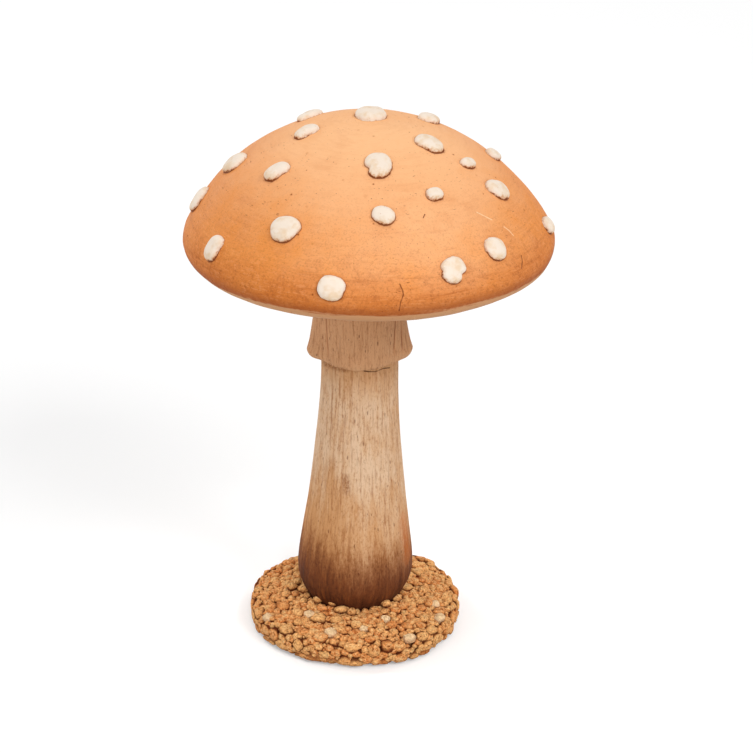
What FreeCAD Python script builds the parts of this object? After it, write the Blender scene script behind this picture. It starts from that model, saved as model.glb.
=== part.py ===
"""Mushroom ornament: a luted ceramic cap and stem on a plate bedded in grit.

Millimetres and degrees. +Z is up and the origin is the middle of the face that it rests on.
The stem leans a little towards +X, and the cap sits further that way than the foot.
"""

import FreeCAD, Part
import math
import os
from types import SimpleNamespace

import Sketcher

# Driving sizes: millimetres, or degrees where the name ends in angle
SIZES = {
    # Cap
    "cap_radius": 79.3,
    "cap_widest_height": 187.0,
    "cap_rise": 51.9,
    "cap_offset": 7.0,
    "rim_radius": 10.3,
    "seam_angle": 61.0,
    "cap_wall": 4.5,
    # Underside plate and the socket that takes the neck
    "underside_sweep_radius": 46.3,
    "underside_wall": 4.0,
    "socket_depth": 18.0,
    "socket_wall": 4.5,
    "vent_radius": 7.0,
    # Warts
    "wart_radius": 6.0,
    "wart_thickness": 2.4,
    # Stem
    "bulb_radius": 26.0,
    "neck_radius": 17.0,
    "neck_length": 47.2,
    "stem_lean": 2.8,
    "stem_wall": 4.5,
    # Skirt round the neck
    "skirt_lip_reach": 6.0,
    "skirt_top_wall": 2.0,
    "skirt_foot_rise": 3.5,
    "skirt_top_gap": 6.0,
    "skirt_lip_radius": 4.4,
    "skirt_flare_depth": 1.0,
    # Base plate, felt and grit bed
    "plate_radius": 43.0,
    "plate_thickness": 6.0,
    "plate_chamfer": 0.8,
    "felt_inset": 0.3,
    "felt_thickness": 1.0,
    "bed_wall": 3.2,
    "bed_ground_gap": 1.8,
    "bed_edge_height": 9.6,
    "bed_foot_round": 2.3,
    "bed_top_round": 3.2,
    "mound_height": 14.6,
    # Crumbs of grit
    "crumb_length": 3.4,
    "crumb_width": 2.9,
    "crumb_height": 2.3,
    "crumb_gap": 1.1,
    # Plug, screw and washer under the stem
    "plug_height": 18.0,
    "plug_chamfer": 1.2,
    "screw_radius": 2.5,
    "screw_length": 19.0,
    "screw_point_length": 4.0,
    "screw_head_radius": 4.6,
    "screw_head_height": 2.3,
    "screw_slot_width": 1.1,
    "screw_slot_depth": 1.2,
    "washer_radius": 6.0,
    "washer_thickness": 0.8,
    # Clearances
    "slip_gap": 0.15,
    "screw_gap": 0.25,
    "pilot_gap": 0.05,
    "head_gap": 0.4,
    "overrun": 2.0,
}

# Stations up the stem: share of the height from plate to neck, share of the swell from neck to bulb
STEM_SHARES = (
    (0.00, 0.26),
    (0.045, 0.38),
    (0.085, 0.60),
    (0.155, 0.97),
    (0.25, 0.94),
    (0.375, 0.73),
    (0.50, 0.51),
    (0.63, 0.31),
    (0.755, 0.15),
    (0.88, 0.04),
    (1.00, 0.00),
)

# Warts: azimuth from +X, tilt of the surface's normal above level, turn of the long axis from level,
# all in degrees, then half length and half width as shares of the wart radius
WART_SHARES = (
    (75, 88.5, 100, 1.15, 0.95),
    (145, 69.5, -10, 1.10, 0.85),
    (-162, 72.5, -12, 1.15, 0.85),
    (24, 72, -30, 1.10, 0.85),
    (-38.5, 69.5, 31, 1.15, 0.95),
    (1, 54, -16, 0.95, 0.75),
    (-30, 58.5, 0, 0.70, 0.50),
    (-141.5, 57, -4, 1.10, 0.85),
    (-178, 51, 15, 1.10, 0.85),
    (-179, 36, 17, 1.10, 0.95),
    (-61, 53, 9, 0.68, 0.50),
    (-84, 48, -19, 0.84, 0.72),
    (-27.5, 48.5, -14, 1.12, 0.85),
    (-120, 42.5, 1, 1.15, 0.97),
    (-146, 32, 70, 1.02, 0.85),
    (-101, 29, 0, 1.00, 0.88),
    (-46, 34.5, 70, 0.95, 0.82),
    (-9.5, 30.5, -14, 0.95, 0.75),
    (80, 57, 20, 0.75, 0.60),
    (112, 51, -25, 1.05, 0.85),
    (58, 50, 10, 1.10, 0.80),
    (123, 38.5, -30, 1.12, 0.90),
    (68, 37, 5, 1.08, 0.88),
    (142, 37, 40, 0.72, 0.58),
    (40, 36, 75, 0.95, 0.80),
    (104, 29, -8, 0.90, 0.78),
    (130, 25, 60, 1.00, 0.85),
    (54, 26, -20, 1.02, 0.85),
    (31, 25, -65, 0.85, 0.70),
)

# Warts pressed from two dabs: the same five values for the larger dab, then the smaller dab's turn
# about the first, its distance from it and its radius as shares of the wart radius
DOUBLE_WART_SHARES = (
    (-85, 65, 80, 1.00, 0.78, 35, 0.85, 0.62),
    (-63, 32, 15, 0.80, 0.75, 60, 0.65, 0.60),
    (92, 42, 60, 0.85, 0.75, 20, 0.62, 0.58),
)
WART_LIFT_SHARE = 0.25
WART_HEIGHT_SHARE = 0.8

# Crumbs: how much narrower their tops are, and how uneven they are in size, place and turn
CRUMB_TOP_SHARE = 0.6
CRUMB_SPREAD_SHARE = 0.08
CRUMB_SWAY_SHARE = 0.05
CRUMB_TURN_ANGLE = 20
PALE_CHIP_EVERY = 14
SKIRT_LIP_SHARE = 0.6


class Size:
    """A size of the sheet, or one worked out from some of them: its value and its formula."""

    def __init__(self, value, formula):
        self.value = value
        self.formula = formula

    def __add__(self, other):
        return worked_out(self, "+", other)

    def __sub__(self, other):
        return worked_out(self, "-", other)

    def __mul__(self, other):
        return worked_out(self, "*", other)

    def __truediv__(self, other):
        return worked_out(self, "/", other)

    def __float__(self):
        return float(self.value)


OPERATIONS = {
    "+": lambda a, b: a + b,
    "-": lambda a, b: a - b,
    "*": lambda a, b: a * b,
    "/": lambda a, b: a / b,
}


def worked_out(first, sign, second):
    """Joins two sizes, or a size and a plain share, by one operation."""
    formula = second.formula if isinstance(second, Size) else repr(second)
    value = OPERATIONS[sign](first.value, float(second))
    return Size(value, "(" + first.formula + " " + sign + " " + formula + ")")


def sine(angle):
    return Size(math.sin(math.radians(angle.value)), "sin(" + angle.formula + ")")


def cosine(angle):
    return Size(math.cos(math.radians(angle.value)), "cos(" + angle.formula + ")")


doc = FreeCAD.newDocument("MushroomOrnament")
sheet = doc.addObject("Spreadsheet::Sheet", "Sizes")
for row, (alias, number) in enumerate(SIZES.items(), start=1):
    sheet.set("A" + str(row), alias)
    sheet.set("B" + str(row), str(number))
    sheet.setAlias("B" + str(row), alias)
doc.recompute()

d = SimpleNamespace(**{name: Size(value, "Sizes." + name) for name, value in SIZES.items()})
subparts = []


def bind(thing, sizes):
    """Binds properties to formulas of the sheet."""
    for name, size in sizes.items():
        thing.setExpression(name, size.formula)


def new_body(label):
    body = doc.addObject("PartDesign::Body", label)
    body.Label = label
    return body


def new_sketch(body, name, plane):
    sketch = body.newObject("Sketcher::SketchObject", name)
    for origin_feature in body.Origin.OriginFeatures:
        if origin_feature.Role == plane:
            sketch.AttachmentSupport = [(origin_feature, "")]
    sketch.MapMode = "FlatFace"
    return sketch


def pin(sketch, edge, end, across, up):
    """Fixes one point of a sketch at two sizes from its origin, or on an axis where a size is zero."""
    places = (("DistanceX", across, -2), ("DistanceY", up, -1))
    for kind, size, axis in places:
        if isinstance(size, Size):
            number = sketch.addConstraint(Sketcher.Constraint(kind, -1, 1, edge, end, size.value))
            sketch.setExpression("Constraints[" + str(number) + "]", size.formula)
        else:
            sketch.addConstraint(Sketcher.Constraint("PointOnObject", edge, end, axis))


def arc_between(start, end, radius, swells_left):
    """An arc of a radius between two points. It runs anticlockwise: one that swells left is swapped."""
    if swells_left:
        start, end = end, start
    chord = end - start
    reach = math.sqrt(radius**2 - (chord.Length / 2) ** 2)
    left = FreeCAD.Vector(-chord.y, chord.x, 0).normalize()
    centre = (start + end) / 2 + left * reach
    first, last = (math.atan2(point.y - centre.y, point.x - centre.x) for point in (start, end))
    return Part.ArcOfCircle(Part.Circle(centre, FreeCAD.Vector(0, 0, 1), radius), first, last)


def outline(sketch, points, arcs):
    """Draws a closed outline of (across, up) points. Arcs: {its first point: (radius, swells left)}."""
    places = [FreeCAD.Vector(float(across), float(up), 0) for across, up in points]
    ends = []
    for index, (start, end) in enumerate(zip(places, places[1:] + places[:1])):
        if index in arcs:
            radius, swells_left = arcs[index]
            sketch.addGeometry(arc_between(start, end, radius.value, swells_left))
            ends.append((2, 1) if swells_left else (1, 2))
        else:
            sketch.addGeometry(Part.LineSegment(start, end))
            ends.append((1, 2))
    for index, (across, up) in enumerate(points):
        following = (index + 1) % len(points)
        join = Sketcher.Constraint("Coincident", index, ends[index][1], following, ends[following][0])
        sketch.addConstraint(join)
        pin(sketch, index, ends[index][0], across, up)
    for index, (radius, swells_left) in arcs.items():
        number = sketch.addConstraint(Sketcher.Constraint("Radius", index, radius.value))
        sketch.setExpression("Constraints[" + str(number) + "]", radius.formula)


def circle(sketch, radius, across=0, up=0):
    """Draws a circle about a point of the sketch."""
    centre = FreeCAD.Vector(float(across), float(up), 0)
    edge = sketch.addGeometry(Part.Circle(centre, FreeCAD.Vector(0, 0, 1), radius.value))
    pin(sketch, edge, 3, across, up)
    number = sketch.addConstraint(Sketcher.Constraint("Radius", edge, radius.value))
    sketch.setExpression("Constraints[" + str(number) + "]", radius.formula)


def spin(body, kind, name, points, arcs):
    """Turns an outline about the body's upright axis, as a PartDesign Revolution or Groove."""
    sketch = new_sketch(body, name + "_outline", "XZ_Plane")
    outline(sketch, points, arcs)
    turned = body.newObject(kind, name)
    turned.Profile = sketch
    turned.ReferenceAxis = (sketch, ["V_Axis"])
    turned.Angle = 360
    sketch.Visibility = False
    return turned


def disc(body, kind, name, radius, height, base=0, upwards=True, across=0):
    """Pads or pockets a circle from a level of the body by a height."""
    sketch = new_sketch(body, name + "_outline", "XY_Plane")
    if isinstance(base, Size):
        bind(sketch, {"AttachmentOffset.Base.z": base})
    circle(sketch, radius, across)
    made = body.newObject(kind, name)
    made.Profile = sketch
    bind(made, {"Length": height})
    made.Reversed = (kind == "PartDesign::Pocket") == upwards
    sketch.Visibility = False
    return made


def finished(thing, label):
    """Names a finished sub-part and lists it for the export."""
    thing.Label = label
    subparts.append(thing)
    return thing


# Heights and places that several pieces share
plate_top = d.felt_thickness + d.plate_thickness
neck_offset = d.stem_lean
rim_centre = d.cap_radius - d.rim_radius
crown = d.cap_rise - d.rim_radius
dome_drop = (rim_centre * rim_centre - crown * crown) / (crown * 2)
dome_radius = d.cap_rise + dome_drop
dome_centre_height = d.cap_widest_height - dome_drop
meet_share = rim_centre / (dome_radius - d.rim_radius)
meet_rise_share = dome_drop / (dome_radius - d.rim_radius)
seam_sine = sine(d.seam_angle)
seam_cosine = cosine(d.seam_angle)
seam_radius = rim_centre + d.rim_radius * seam_cosine
seam_height = d.cap_widest_height - d.rim_radius * seam_sine
sole_radius = seam_radius - d.underside_sweep_radius * seam_cosine
sole_height = seam_height - d.underside_sweep_radius + d.underside_sweep_radius * seam_sine
socket_top = sole_height + d.socket_depth
neck_top = socket_top - d.slip_gap
neck_height = sole_height - d.neck_length
neck_rise = neck_height - plate_top
skirt_foot_height = neck_height + d.skirt_foot_rise
skirt_top_height = sole_height - d.skirt_top_gap
bed_bore = d.plate_radius + d.slip_gap
bed_radius = bed_bore + d.bed_wall


def cap_dome(body, kind, name, depth, closed_at_seam):
    """The cap's dome and rim, set in by a depth: a crown arc, then a tighter rim arc below it."""
    dome = dome_radius - depth
    rim = d.rim_radius - depth
    points = [
        (0, dome_centre_height + dome),
        (rim_centre + rim * meet_share, d.cap_widest_height + rim * meet_rise_share),
    ]
    if closed_at_seam:
        points += [
            (rim_centre + rim * seam_cosine, d.cap_widest_height - rim * seam_sine),
            (rim_centre, d.cap_widest_height),
            (0, d.cap_widest_height),
        ]
    else:
        points += [
            (rim_centre, d.cap_widest_height - rim),
            (0, d.cap_widest_height - rim),
        ]
    return spin(body, kind, name, points, {0: (dome, True), 1: (rim, True)})


def make_cap_shell():
    """A hollow dome with a rolled rim, open below, where the underside is luted to its edge."""
    body = new_body("cap_shell")
    cap_dome(body, "PartDesign::Revolution", "dome", 0, True)
    cap_dome(body, "PartDesign::Groove", "hollow", d.cap_wall, False)
    bind(body, {"Placement.Base.x": d.cap_offset})
    return finished(body, "cap_shell")


def make_cap_underside():
    """The plate that closes the cap, with an upstanding socket for the neck, off the plate's middle."""
    body = new_body("cap_underside")
    wall = d.underside_wall
    lip_out = d.slip_gap * seam_sine
    lip_down = d.slip_gap * seam_cosine
    inner_sweep = d.underside_sweep_radius - wall
    points = [
        (seam_radius - lip_out, seam_height - lip_down),
        (sole_radius, sole_height),
        (0, sole_height),
        (0, sole_height + wall),
        (sole_radius, sole_height + wall),
        (seam_radius - wall * seam_cosine - lip_out, seam_height + wall * seam_sine - lip_down),
    ]
    arcs = {0: (d.underside_sweep_radius, True), 4: (inner_sweep, False)}
    spin(body, "PartDesign::Revolution", "plate", points, arcs)
    shift = neck_offset - d.cap_offset
    bore = d.neck_radius + d.slip_gap
    collar_height = d.socket_depth + d.socket_wall - wall / 2
    disc(body, "PartDesign::Pad", "socket", bore + d.socket_wall, collar_height,
         sole_height + wall / 2, True, shift)
    disc(body, "PartDesign::Pocket", "socket_bore", bore, d.socket_depth + d.overrun,
         sole_height - d.overrun, True, shift)
    disc(body, "PartDesign::Pocket", "vent", d.vent_radius, d.socket_wall + d.overrun * 2,
         socket_top - d.overrun, True, shift)
    bind(body, {"Placement.Base.x": d.cap_offset})
    return finished(body, "cap_underside")


def make_wart_seat():
    """The cap's outside, grown by the thickness of the slip, that each wart's back is shaped to."""
    body = new_body("wart_seat")
    cap_dome(body, "PartDesign::Revolution", "seat", d.slip_gap * -1, True)
    bind(body, {"Placement.Base.x": d.cap_offset})
    return body


def cap_frame(azimuth, tilt, turn):
    """The place on the cap whose normal has that azimuth and tilt, with X turned from level."""
    meet_angle = math.degrees(math.acos(meet_share.value))
    if tilt >= meet_angle:
        ring, height, reach = 0, dome_centre_height.value, dome_radius.value
    else:
        ring, height, reach = rim_centre.value, d.cap_widest_height.value, d.rim_radius.value
    around = FreeCAD.Rotation(FreeCAD.Vector(0, 0, 1), azimuth)
    leaning = FreeCAD.Rotation(FreeCAD.Vector(0, 1, 0), 90 - tilt)
    quarter = FreeCAD.Rotation(FreeCAD.Vector(0, 0, 1), 90 + turn)
    rotation = around.multiply(leaning).multiply(quarter)
    outwards = rotation.multVec(FreeCAD.Vector(0, 0, 1))
    axis_point = around.multVec(FreeCAD.Vector(ring, 0, 0)) + FreeCAD.Vector(d.cap_offset.value, 0, height)
    return FreeCAD.Placement(axis_point + outwards * reach, rotation)


def dab(name, seat, length_share, width_share):
    """A squashed ball of slip whose middle stands a little proud of the surface under it."""
    ball = doc.addObject("Part::Ellipsoid", name)
    half_height = d.wart_thickness * WART_HEIGHT_SHARE
    bind(ball, {
        "Radius1": half_height,
        "Radius2": d.wart_radius * length_share,
        "Radius3": d.wart_radius * width_share,
    })
    lift = d.wart_thickness.value * WART_LIFT_SHARE
    outwards = seat.Rotation.multVec(FreeCAD.Vector(0, 0, 1))
    ball.Placement = FreeCAD.Placement(seat.Base + outwards * lift, seat.Rotation)
    return ball


def press_on(label, dabs, seat_body):
    """Shapes the back of a wart to the cap."""
    wart = dabs[0]
    if len(dabs) > 1:
        wart = doc.addObject("Part::Fuse", label + "_dabs")
        wart.Base, wart.Tool = dabs
    pressed = doc.addObject("Part::Cut", label)
    pressed.Base = wart
    pressed.Tool = seat_body
    return finished(pressed, label)


def make_warts():
    """Every wart on the cap: the single ones, then those pressed from two dabs."""
    seat_body = make_wart_seat()
    for number, (azimuth, tilt, turn, length, width) in enumerate(WART_SHARES, start=1):
        label = "wart_%02d" % number
        seat = cap_frame(azimuth, tilt, turn)
        press_on(label, [dab(label + "_dab", seat, length, width)], seat_body)
    for number, row in enumerate(DOUBLE_WART_SHARES, start=len(WART_SHARES) + 1):
        azimuth, tilt, turn, length, width, second_turn, distance, second = row
        label = "wart_%02d" % number
        seat = cap_frame(azimuth, tilt, turn)
        swing = math.radians(second_turn)
        step = FreeCAD.Vector(math.cos(swing), math.sin(swing), 0) * (d.wart_radius.value * distance)
        beside = FreeCAD.Placement(seat.multVec(step), seat.Rotation)
        dabs = [dab(label + "_dab", seat, length, width), dab(label + "_second", beside, second, second)]
        press_on(label, dabs, seat_body)


def stem_form(name, growth, neck_overrun):
    """The stem's outside, grown or set in: a loft of level circles that lean over, then a straight neck."""
    rings = []
    for number, (height_share, swell_share) in enumerate(STEM_SHARES):
        ring = doc.addObject("Part::Circle", name + "_ring_%02d" % number)
        swell = (d.bulb_radius - d.neck_radius) * swell_share
        bind(ring, {
            "Radius": d.neck_radius + swell + growth,
            "Placement.Base.x": neck_offset * height_share,
            "Placement.Base.z": plate_top + neck_rise * height_share,
        })
        rings.append(ring)
    trunk = doc.addObject("Part::Loft", name + "_trunk")
    trunk.Sections = rings
    trunk.Solid = True
    neck = doc.addObject("Part::Cylinder", name + "_neck")
    bind(neck, {
        "Radius": d.neck_radius + growth,
        "Height": neck_top - neck_height + neck_overrun,
        "Placement.Base.x": neck_offset,
        "Placement.Base.z": neck_height,
    })
    form = doc.addObject("Part::MultiFuse", name)
    form.Shapes = [trunk, neck]
    return form


def make_stem():
    """A hollow stem, open at both ends, with a plain bore in its foot for the plug."""
    outside = stem_form("stem_outside", 0, 0)
    inside = stem_form("stem_inside", d.stem_wall * -1, d.overrun)
    foot_bore = doc.addObject("Part::Cylinder", "stem_foot_bore")
    bind(foot_bore, {
        "Radius": plug_radius() + d.slip_gap,
        "Height": d.plug_height + d.overrun,
        "Placement.Base.z": plate_top - d.overrun,
    })
    hollow = doc.addObject("Part::MultiFuse", "stem_hollow")
    hollow.Shapes = [inside, foot_bore]
    stem = doc.addObject("Part::Cut", "stem")
    stem.Base = outside
    stem.Tool = hollow
    return finished(stem, "stem")


def plug_radius():
    """The plug fills the foot of the hollow."""
    foot_radius = d.neck_radius + (d.bulb_radius - d.neck_radius) * STEM_SHARES[0][1]
    return foot_radius - d.stem_wall - d.slip_gap


def make_stem_skirt():
    """A flared ring round the neck with a rounded lip, luted to the neck."""
    body = new_body("stem_skirt")
    bore = d.neck_radius + d.slip_gap
    widest = bore + d.skirt_lip_reach
    widest_height = skirt_foot_height + d.skirt_lip_radius
    narrowing = d.skirt_lip_reach - d.skirt_top_wall
    rise = skirt_top_height - widest_height
    flare_radius = (narrowing * narrowing + rise * rise) / (d.skirt_flare_depth * 8) + d.skirt_flare_depth / 2
    points = [
        (bore, skirt_foot_height),
        (widest - d.skirt_lip_radius * SKIRT_LIP_SHARE, skirt_foot_height),
        (widest, widest_height),
        (bore + d.skirt_top_wall, skirt_top_height),
        (bore, skirt_top_height),
    ]
    arcs = {1: (d.skirt_lip_radius, False), 2: (flare_radius, True)}
    spin(body, "PartDesign::Revolution", "ring", points, arcs)
    bind(body, {"Placement.Base.x": neck_offset})
    return finished(body, "stem_skirt")


def make_felt_pad():
    """A disc of felt under the whole plate."""
    body = new_body("felt_pad")
    disc(body, "PartDesign::Pad", "felt", d.plate_radius - d.felt_inset, d.felt_thickness)
    return finished(body, "felt_pad")


def make_base_plate():
    """The stiff disc that the stem stands on, with a screw hole sunk from below."""
    body = new_body("base_plate")
    plate = disc(body, "PartDesign::Pad", "plate", d.plate_radius, d.plate_thickness)
    doc.recompute()
    edge = body.newObject("PartDesign::Chamfer", "edge")
    rims = ["Edge%d" % n for n, e in enumerate(plate.Shape.Edges, start=1) if e.Closed]
    edge.Base = (plate, rims)
    bind(edge, {"Size": d.plate_chamfer})
    disc(body, "PartDesign::Pocket", "screw_hole", d.screw_radius + d.screw_gap,
         d.plate_thickness + d.overrun * 2, d.overrun * -1)
    disc(body, "PartDesign::Pocket", "head_well", d.washer_radius + d.head_gap, head_well_depth())
    bind(body, {"Placement.Base.z": d.felt_thickness})
    return finished(body, "base_plate")


def head_well_depth():
    """Room for the washer and the screw's head, just clear of the felt."""
    return d.washer_thickness + d.screw_head_height + d.head_gap


def washer_seat():
    """The level that the washer bears up against."""
    return d.felt_thickness + head_well_depth()


def make_base_washer():
    """A plain washer between the screw's head and the plate."""
    body = new_body("base_washer")
    disc(body, "PartDesign::Pad", "ring", d.washer_radius, d.washer_thickness)
    disc(body, "PartDesign::Pocket", "hole", d.screw_radius + d.screw_gap,
         d.washer_thickness + d.overrun * 2, d.overrun * -1)
    bind(body, {"Placement.Base.z": washer_seat() - d.washer_thickness})
    return finished(body, "base_washer")


def make_base_screw():
    """A slotted wood screw, head down, turned on the upright axis."""
    body = new_body("base_screw")
    shank_top = d.screw_head_height + d.screw_length
    points = [
        (0, 0),
        (d.screw_head_radius, 0),
        (d.screw_head_radius, d.screw_head_height),
        (d.screw_radius, d.screw_head_height),
        (d.screw_radius, shank_top - d.screw_point_length),
        (0, shank_top),
    ]
    spin(body, "PartDesign::Revolution", "shank", points, {})
    sketch = new_sketch(body, "slot_outline", "XZ_Plane")
    half = d.screw_slot_width / 2
    points = [
        (half * -1, d.overrun * -1),
        (half, d.overrun * -1),
        (half, d.screw_slot_depth),
        (half * -1, d.screw_slot_depth),
    ]
    outline(sketch, points, {})
    slot = body.newObject("PartDesign::Pocket", "slot")
    slot.Profile = sketch
    slot.Midplane = True
    bind(slot, {"Length": (d.screw_head_radius + d.overrun) * 2})
    sketch.Visibility = False
    bind(body, {"Placement.Base.z": washer_seat() - d.washer_thickness - d.screw_head_height})
    return finished(body, "base_screw")


def make_foot_plug():
    """A wooden plug bonded into the foot of the stem, drilled for the screw."""
    body = new_body("foot_plug")
    plug = disc(body, "PartDesign::Pad", "plug", plug_radius(), d.plug_height)
    doc.recompute()
    edge = body.newObject("PartDesign::Chamfer", "edge")
    rims = ["Edge%d" % n for n, e in enumerate(plug.Shape.Edges, start=1) if e.Closed]
    edge.Base = (plug, rims)
    bind(edge, {"Size": d.plug_chamfer})
    screw_reach = d.screw_length - (plate_top - washer_seat()) - d.washer_thickness
    disc(body, "PartDesign::Pocket", "pilot_hole", d.screw_radius + d.pilot_gap,
         screw_reach + d.head_gap + d.overrun, d.overrun * -1)
    bind(body, {"Placement.Base.z": plate_top})
    return finished(body, "foot_plug")


def stem_radius_at(height):
    """The stem's radius at a height between its foot and its neck, on the straight line between stations."""
    share = float(height - plate_top) / float(neck_rise)
    for (below, swell_below), (above, swell_above) in zip(STEM_SHARES, STEM_SHARES[1:]):
        if below <= share <= above:
            way_share = (share - below) / (above - below)
            swell_share = swell_below + (swell_above - swell_below) * way_share
            return d.neck_radius + (d.bulb_radius - d.neck_radius) * swell_share
    return d.neck_radius + 0


def make_grit_bed():
    """The mound of mortar: it wraps the plate's edge and is bored out by the stem's foot."""
    body = new_body("bed_mound")
    inner = d.neck_radius - d.stem_wall
    points = [
        (bed_bore, d.bed_ground_gap),
        (bed_radius - d.bed_foot_round, d.bed_ground_gap),
        (bed_radius, d.bed_ground_gap + d.bed_foot_round),
        (bed_radius, d.bed_edge_height - d.bed_top_round),
        (bed_radius - d.bed_top_round, d.bed_edge_height),
        (mound_radius(), d.mound_height),
        (inner, d.mound_height),
        (inner, plate_top),
        (bed_bore, plate_top),
    ]
    arcs = {1: (d.bed_foot_round, False), 3: (d.bed_top_round, False)}
    spin(body, "PartDesign::Revolution", "mound", points, arcs)
    bed = doc.addObject("Part::Cut", "grit_bed")
    bed.Base = body
    bed.Tool = stem_form("bed_bore", d.slip_gap, d.slip_gap)
    return finished(bed, "grit_bed")


def mound_radius():
    """Where the mound meets the stem: the stem's radius level with the tops of the crumbs."""
    return stem_radius_at(d.mound_height + d.crumb_height)


def sway(number, salt):
    """A fixed unevenness from -1 to 1 that differs from crumb to crumb."""
    return math.modf(math.sin(number * 12.9898 + salt * 78.233) * 437.585)[0]


def crumb(number, place):
    """One angular crumb, wider at its foot, standing on a place whose +Z points out of the bed."""
    grow = 1 + CRUMB_SPREAD_SHARE * sway(number, 1)
    half_length = d.crumb_length.value / 2 * grow
    half_width = d.crumb_width.value / 2 * (1 + CRUMB_SPREAD_SHARE * sway(number, 2))
    height = d.crumb_height.value * (1 + CRUMB_SPREAD_SHARE * sway(number, 3))
    top_length = half_length * CRUMB_TOP_SHARE
    top_width = half_width * (CRUMB_TOP_SHARE + CRUMB_SWAY_SHARE * sway(number, 4))
    block = Part.makeWedge(-half_length, 0, -half_width, -top_width, -top_length,
                           half_length, height, half_width, top_width, top_length)
    block.rotate(FreeCAD.Vector(0, 0, 0), FreeCAD.Vector(1, 0, 0), 90)
    block.rotate(FreeCAD.Vector(0, 0, 0), FreeCAD.Vector(0, 0, 1), CRUMB_TURN_ANGLE * sway(number, 5))
    block.translate(FreeCAD.Vector(0, 0, d.slip_gap.value))
    block.Placement = place.multiply(block.Placement)
    return block


def crumb_ring(radius, height, slope, first_number):
    """Crumbs evenly spaced round one level of the bed, with their numbers. Slope tips them outwards."""
    count = int(2 * math.pi * radius / float(d.crumb_length + d.crumb_gap))
    for step in range(count):
        number = first_number + step
        azimuth = 360 * (step + CRUMB_SWAY_SHARE * sway(number, 6)) / count
        around = FreeCAD.Rotation(FreeCAD.Vector(0, 0, 1), azimuth)
        tipped = FreeCAD.Rotation(FreeCAD.Vector(0, 1, 0), slope)
        spot = around.multVec(FreeCAD.Vector(radius, 0, height))
        yield number, crumb(number, FreeCAD.Placement(spot, around.multiply(tipped)))


def grit_rings():
    """Every ring of crumbs, from the bed's side inwards: its node, radius, height and slope."""
    inside = mound_radius().value
    round_centre = float(bed_radius - d.bed_top_round)
    round_height = float(d.bed_edge_height - d.bed_top_round)
    run = round_centre - inside
    drop = float(d.mound_height - d.bed_edge_height)
    slope = math.degrees(math.atan2(drop, run))
    ring_pitch = float(d.crumb_length + d.crumb_gap) * math.cos(math.radians(slope))
    ring_count = int(run / ring_pitch)
    side_height = float(d.bed_ground_gap + d.bed_foot_round)
    yield "grit_side", bed_radius.value, side_height, 90
    reach = d.bed_top_round.value * math.sqrt(0.5)
    yield "grit_rim", round_centre + reach, round_height + reach, 45
    for number in range(ring_count):
        in_share = (number + 0.5) / ring_count
        name = "grit_outer" if in_share < 0.5 else "grit_inner"
        yield name, round_centre - run * in_share, d.bed_edge_height.value + drop * in_share, slope


def make_grit():
    """Rings of crumbs over the mound, its edge and its side. Now and then one is a pale chip."""
    groups = {}
    first_number = 0
    for name, radius, height, slope in grit_rings():
        for number, block in crumb_ring(radius, height, slope, first_number):
            node = "pale_chips" if number % PALE_CHIP_EVERY == 0 else name
            groups.setdefault(node, []).append(block)
        first_number = number + 1
    for name, crumbs in groups.items():
        group = doc.addObject("Part::Feature", name)
        group.Shape = Part.makeCompound(crumbs)
        finished(group, name)


def check(things):
    """Stops unless every object worked and every sub-part is a valid solid or group of solids."""
    for thing in doc.Objects:
        if "Invalid" in thing.State or "Error" in thing.State:
            raise RuntimeError(thing.Name + " failed: " + str(thing.State))
    for thing in things:
        shape = thing.Shape
        if shape.isNull() or not shape.isValid() or not shape.Solids:
            raise RuntimeError(thing.Label + " is not a valid solid")


make_felt_pad()
make_base_plate()
make_base_washer()
make_base_screw()
make_foot_plug()
make_stem()
make_stem_skirt()
make_cap_underside()
make_cap_shell()
make_warts()
make_grit_bed()
make_grit()
doc.recompute()
check(subparts)

os.makedirs("parts", exist_ok=True)
for subpart in subparts:
    subpart.Shape.exportStep("parts/" + subpart.Label + ".step")
print(len(subparts), "sub-parts written")
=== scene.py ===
"""Looks of the mushroom ornament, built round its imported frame.

Lengths are metres, written as millimetres times MM, and angles are degrees times DEGREE. +Z is up, the
origin is the middle of the base, and the photograph looks along +Y.
"""
import logging
import math
import random
from collections.abc import Callable, Iterator, Sequence
from dataclasses import dataclass, field
from enum import Enum
from functools import reduce

import bpy
from mathutils import Euler, Matrix, Vector, noise


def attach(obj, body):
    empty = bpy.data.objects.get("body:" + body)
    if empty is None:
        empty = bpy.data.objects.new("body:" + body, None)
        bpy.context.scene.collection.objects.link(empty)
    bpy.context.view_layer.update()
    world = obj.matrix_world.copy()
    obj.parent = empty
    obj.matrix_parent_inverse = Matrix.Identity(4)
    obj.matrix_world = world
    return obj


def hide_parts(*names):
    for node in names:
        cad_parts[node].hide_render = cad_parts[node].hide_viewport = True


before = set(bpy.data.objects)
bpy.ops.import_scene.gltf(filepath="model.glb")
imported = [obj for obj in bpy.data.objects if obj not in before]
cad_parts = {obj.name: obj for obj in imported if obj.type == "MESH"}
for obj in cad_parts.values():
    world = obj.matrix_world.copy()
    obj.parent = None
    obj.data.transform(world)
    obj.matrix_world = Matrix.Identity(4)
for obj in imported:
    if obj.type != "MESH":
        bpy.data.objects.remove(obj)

MM = 0.001
DEGREE = math.pi / 180
log = logging.getLogger("ornament")

Colour = tuple[float, float, float, float]
Pixel = tuple[float, float]
Pair = tuple[float, float]
Triple = tuple[float, float, float]

UP = Vector((0, 0, 1))
RIGHT_ANGLE = math.pi / 2
WHITE: Colour = (1.0, 1.0, 1.0, 1.0)
EVEN: Triple = (1, 1, 1)
STEM_DRUM = 20 * MM


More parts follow.
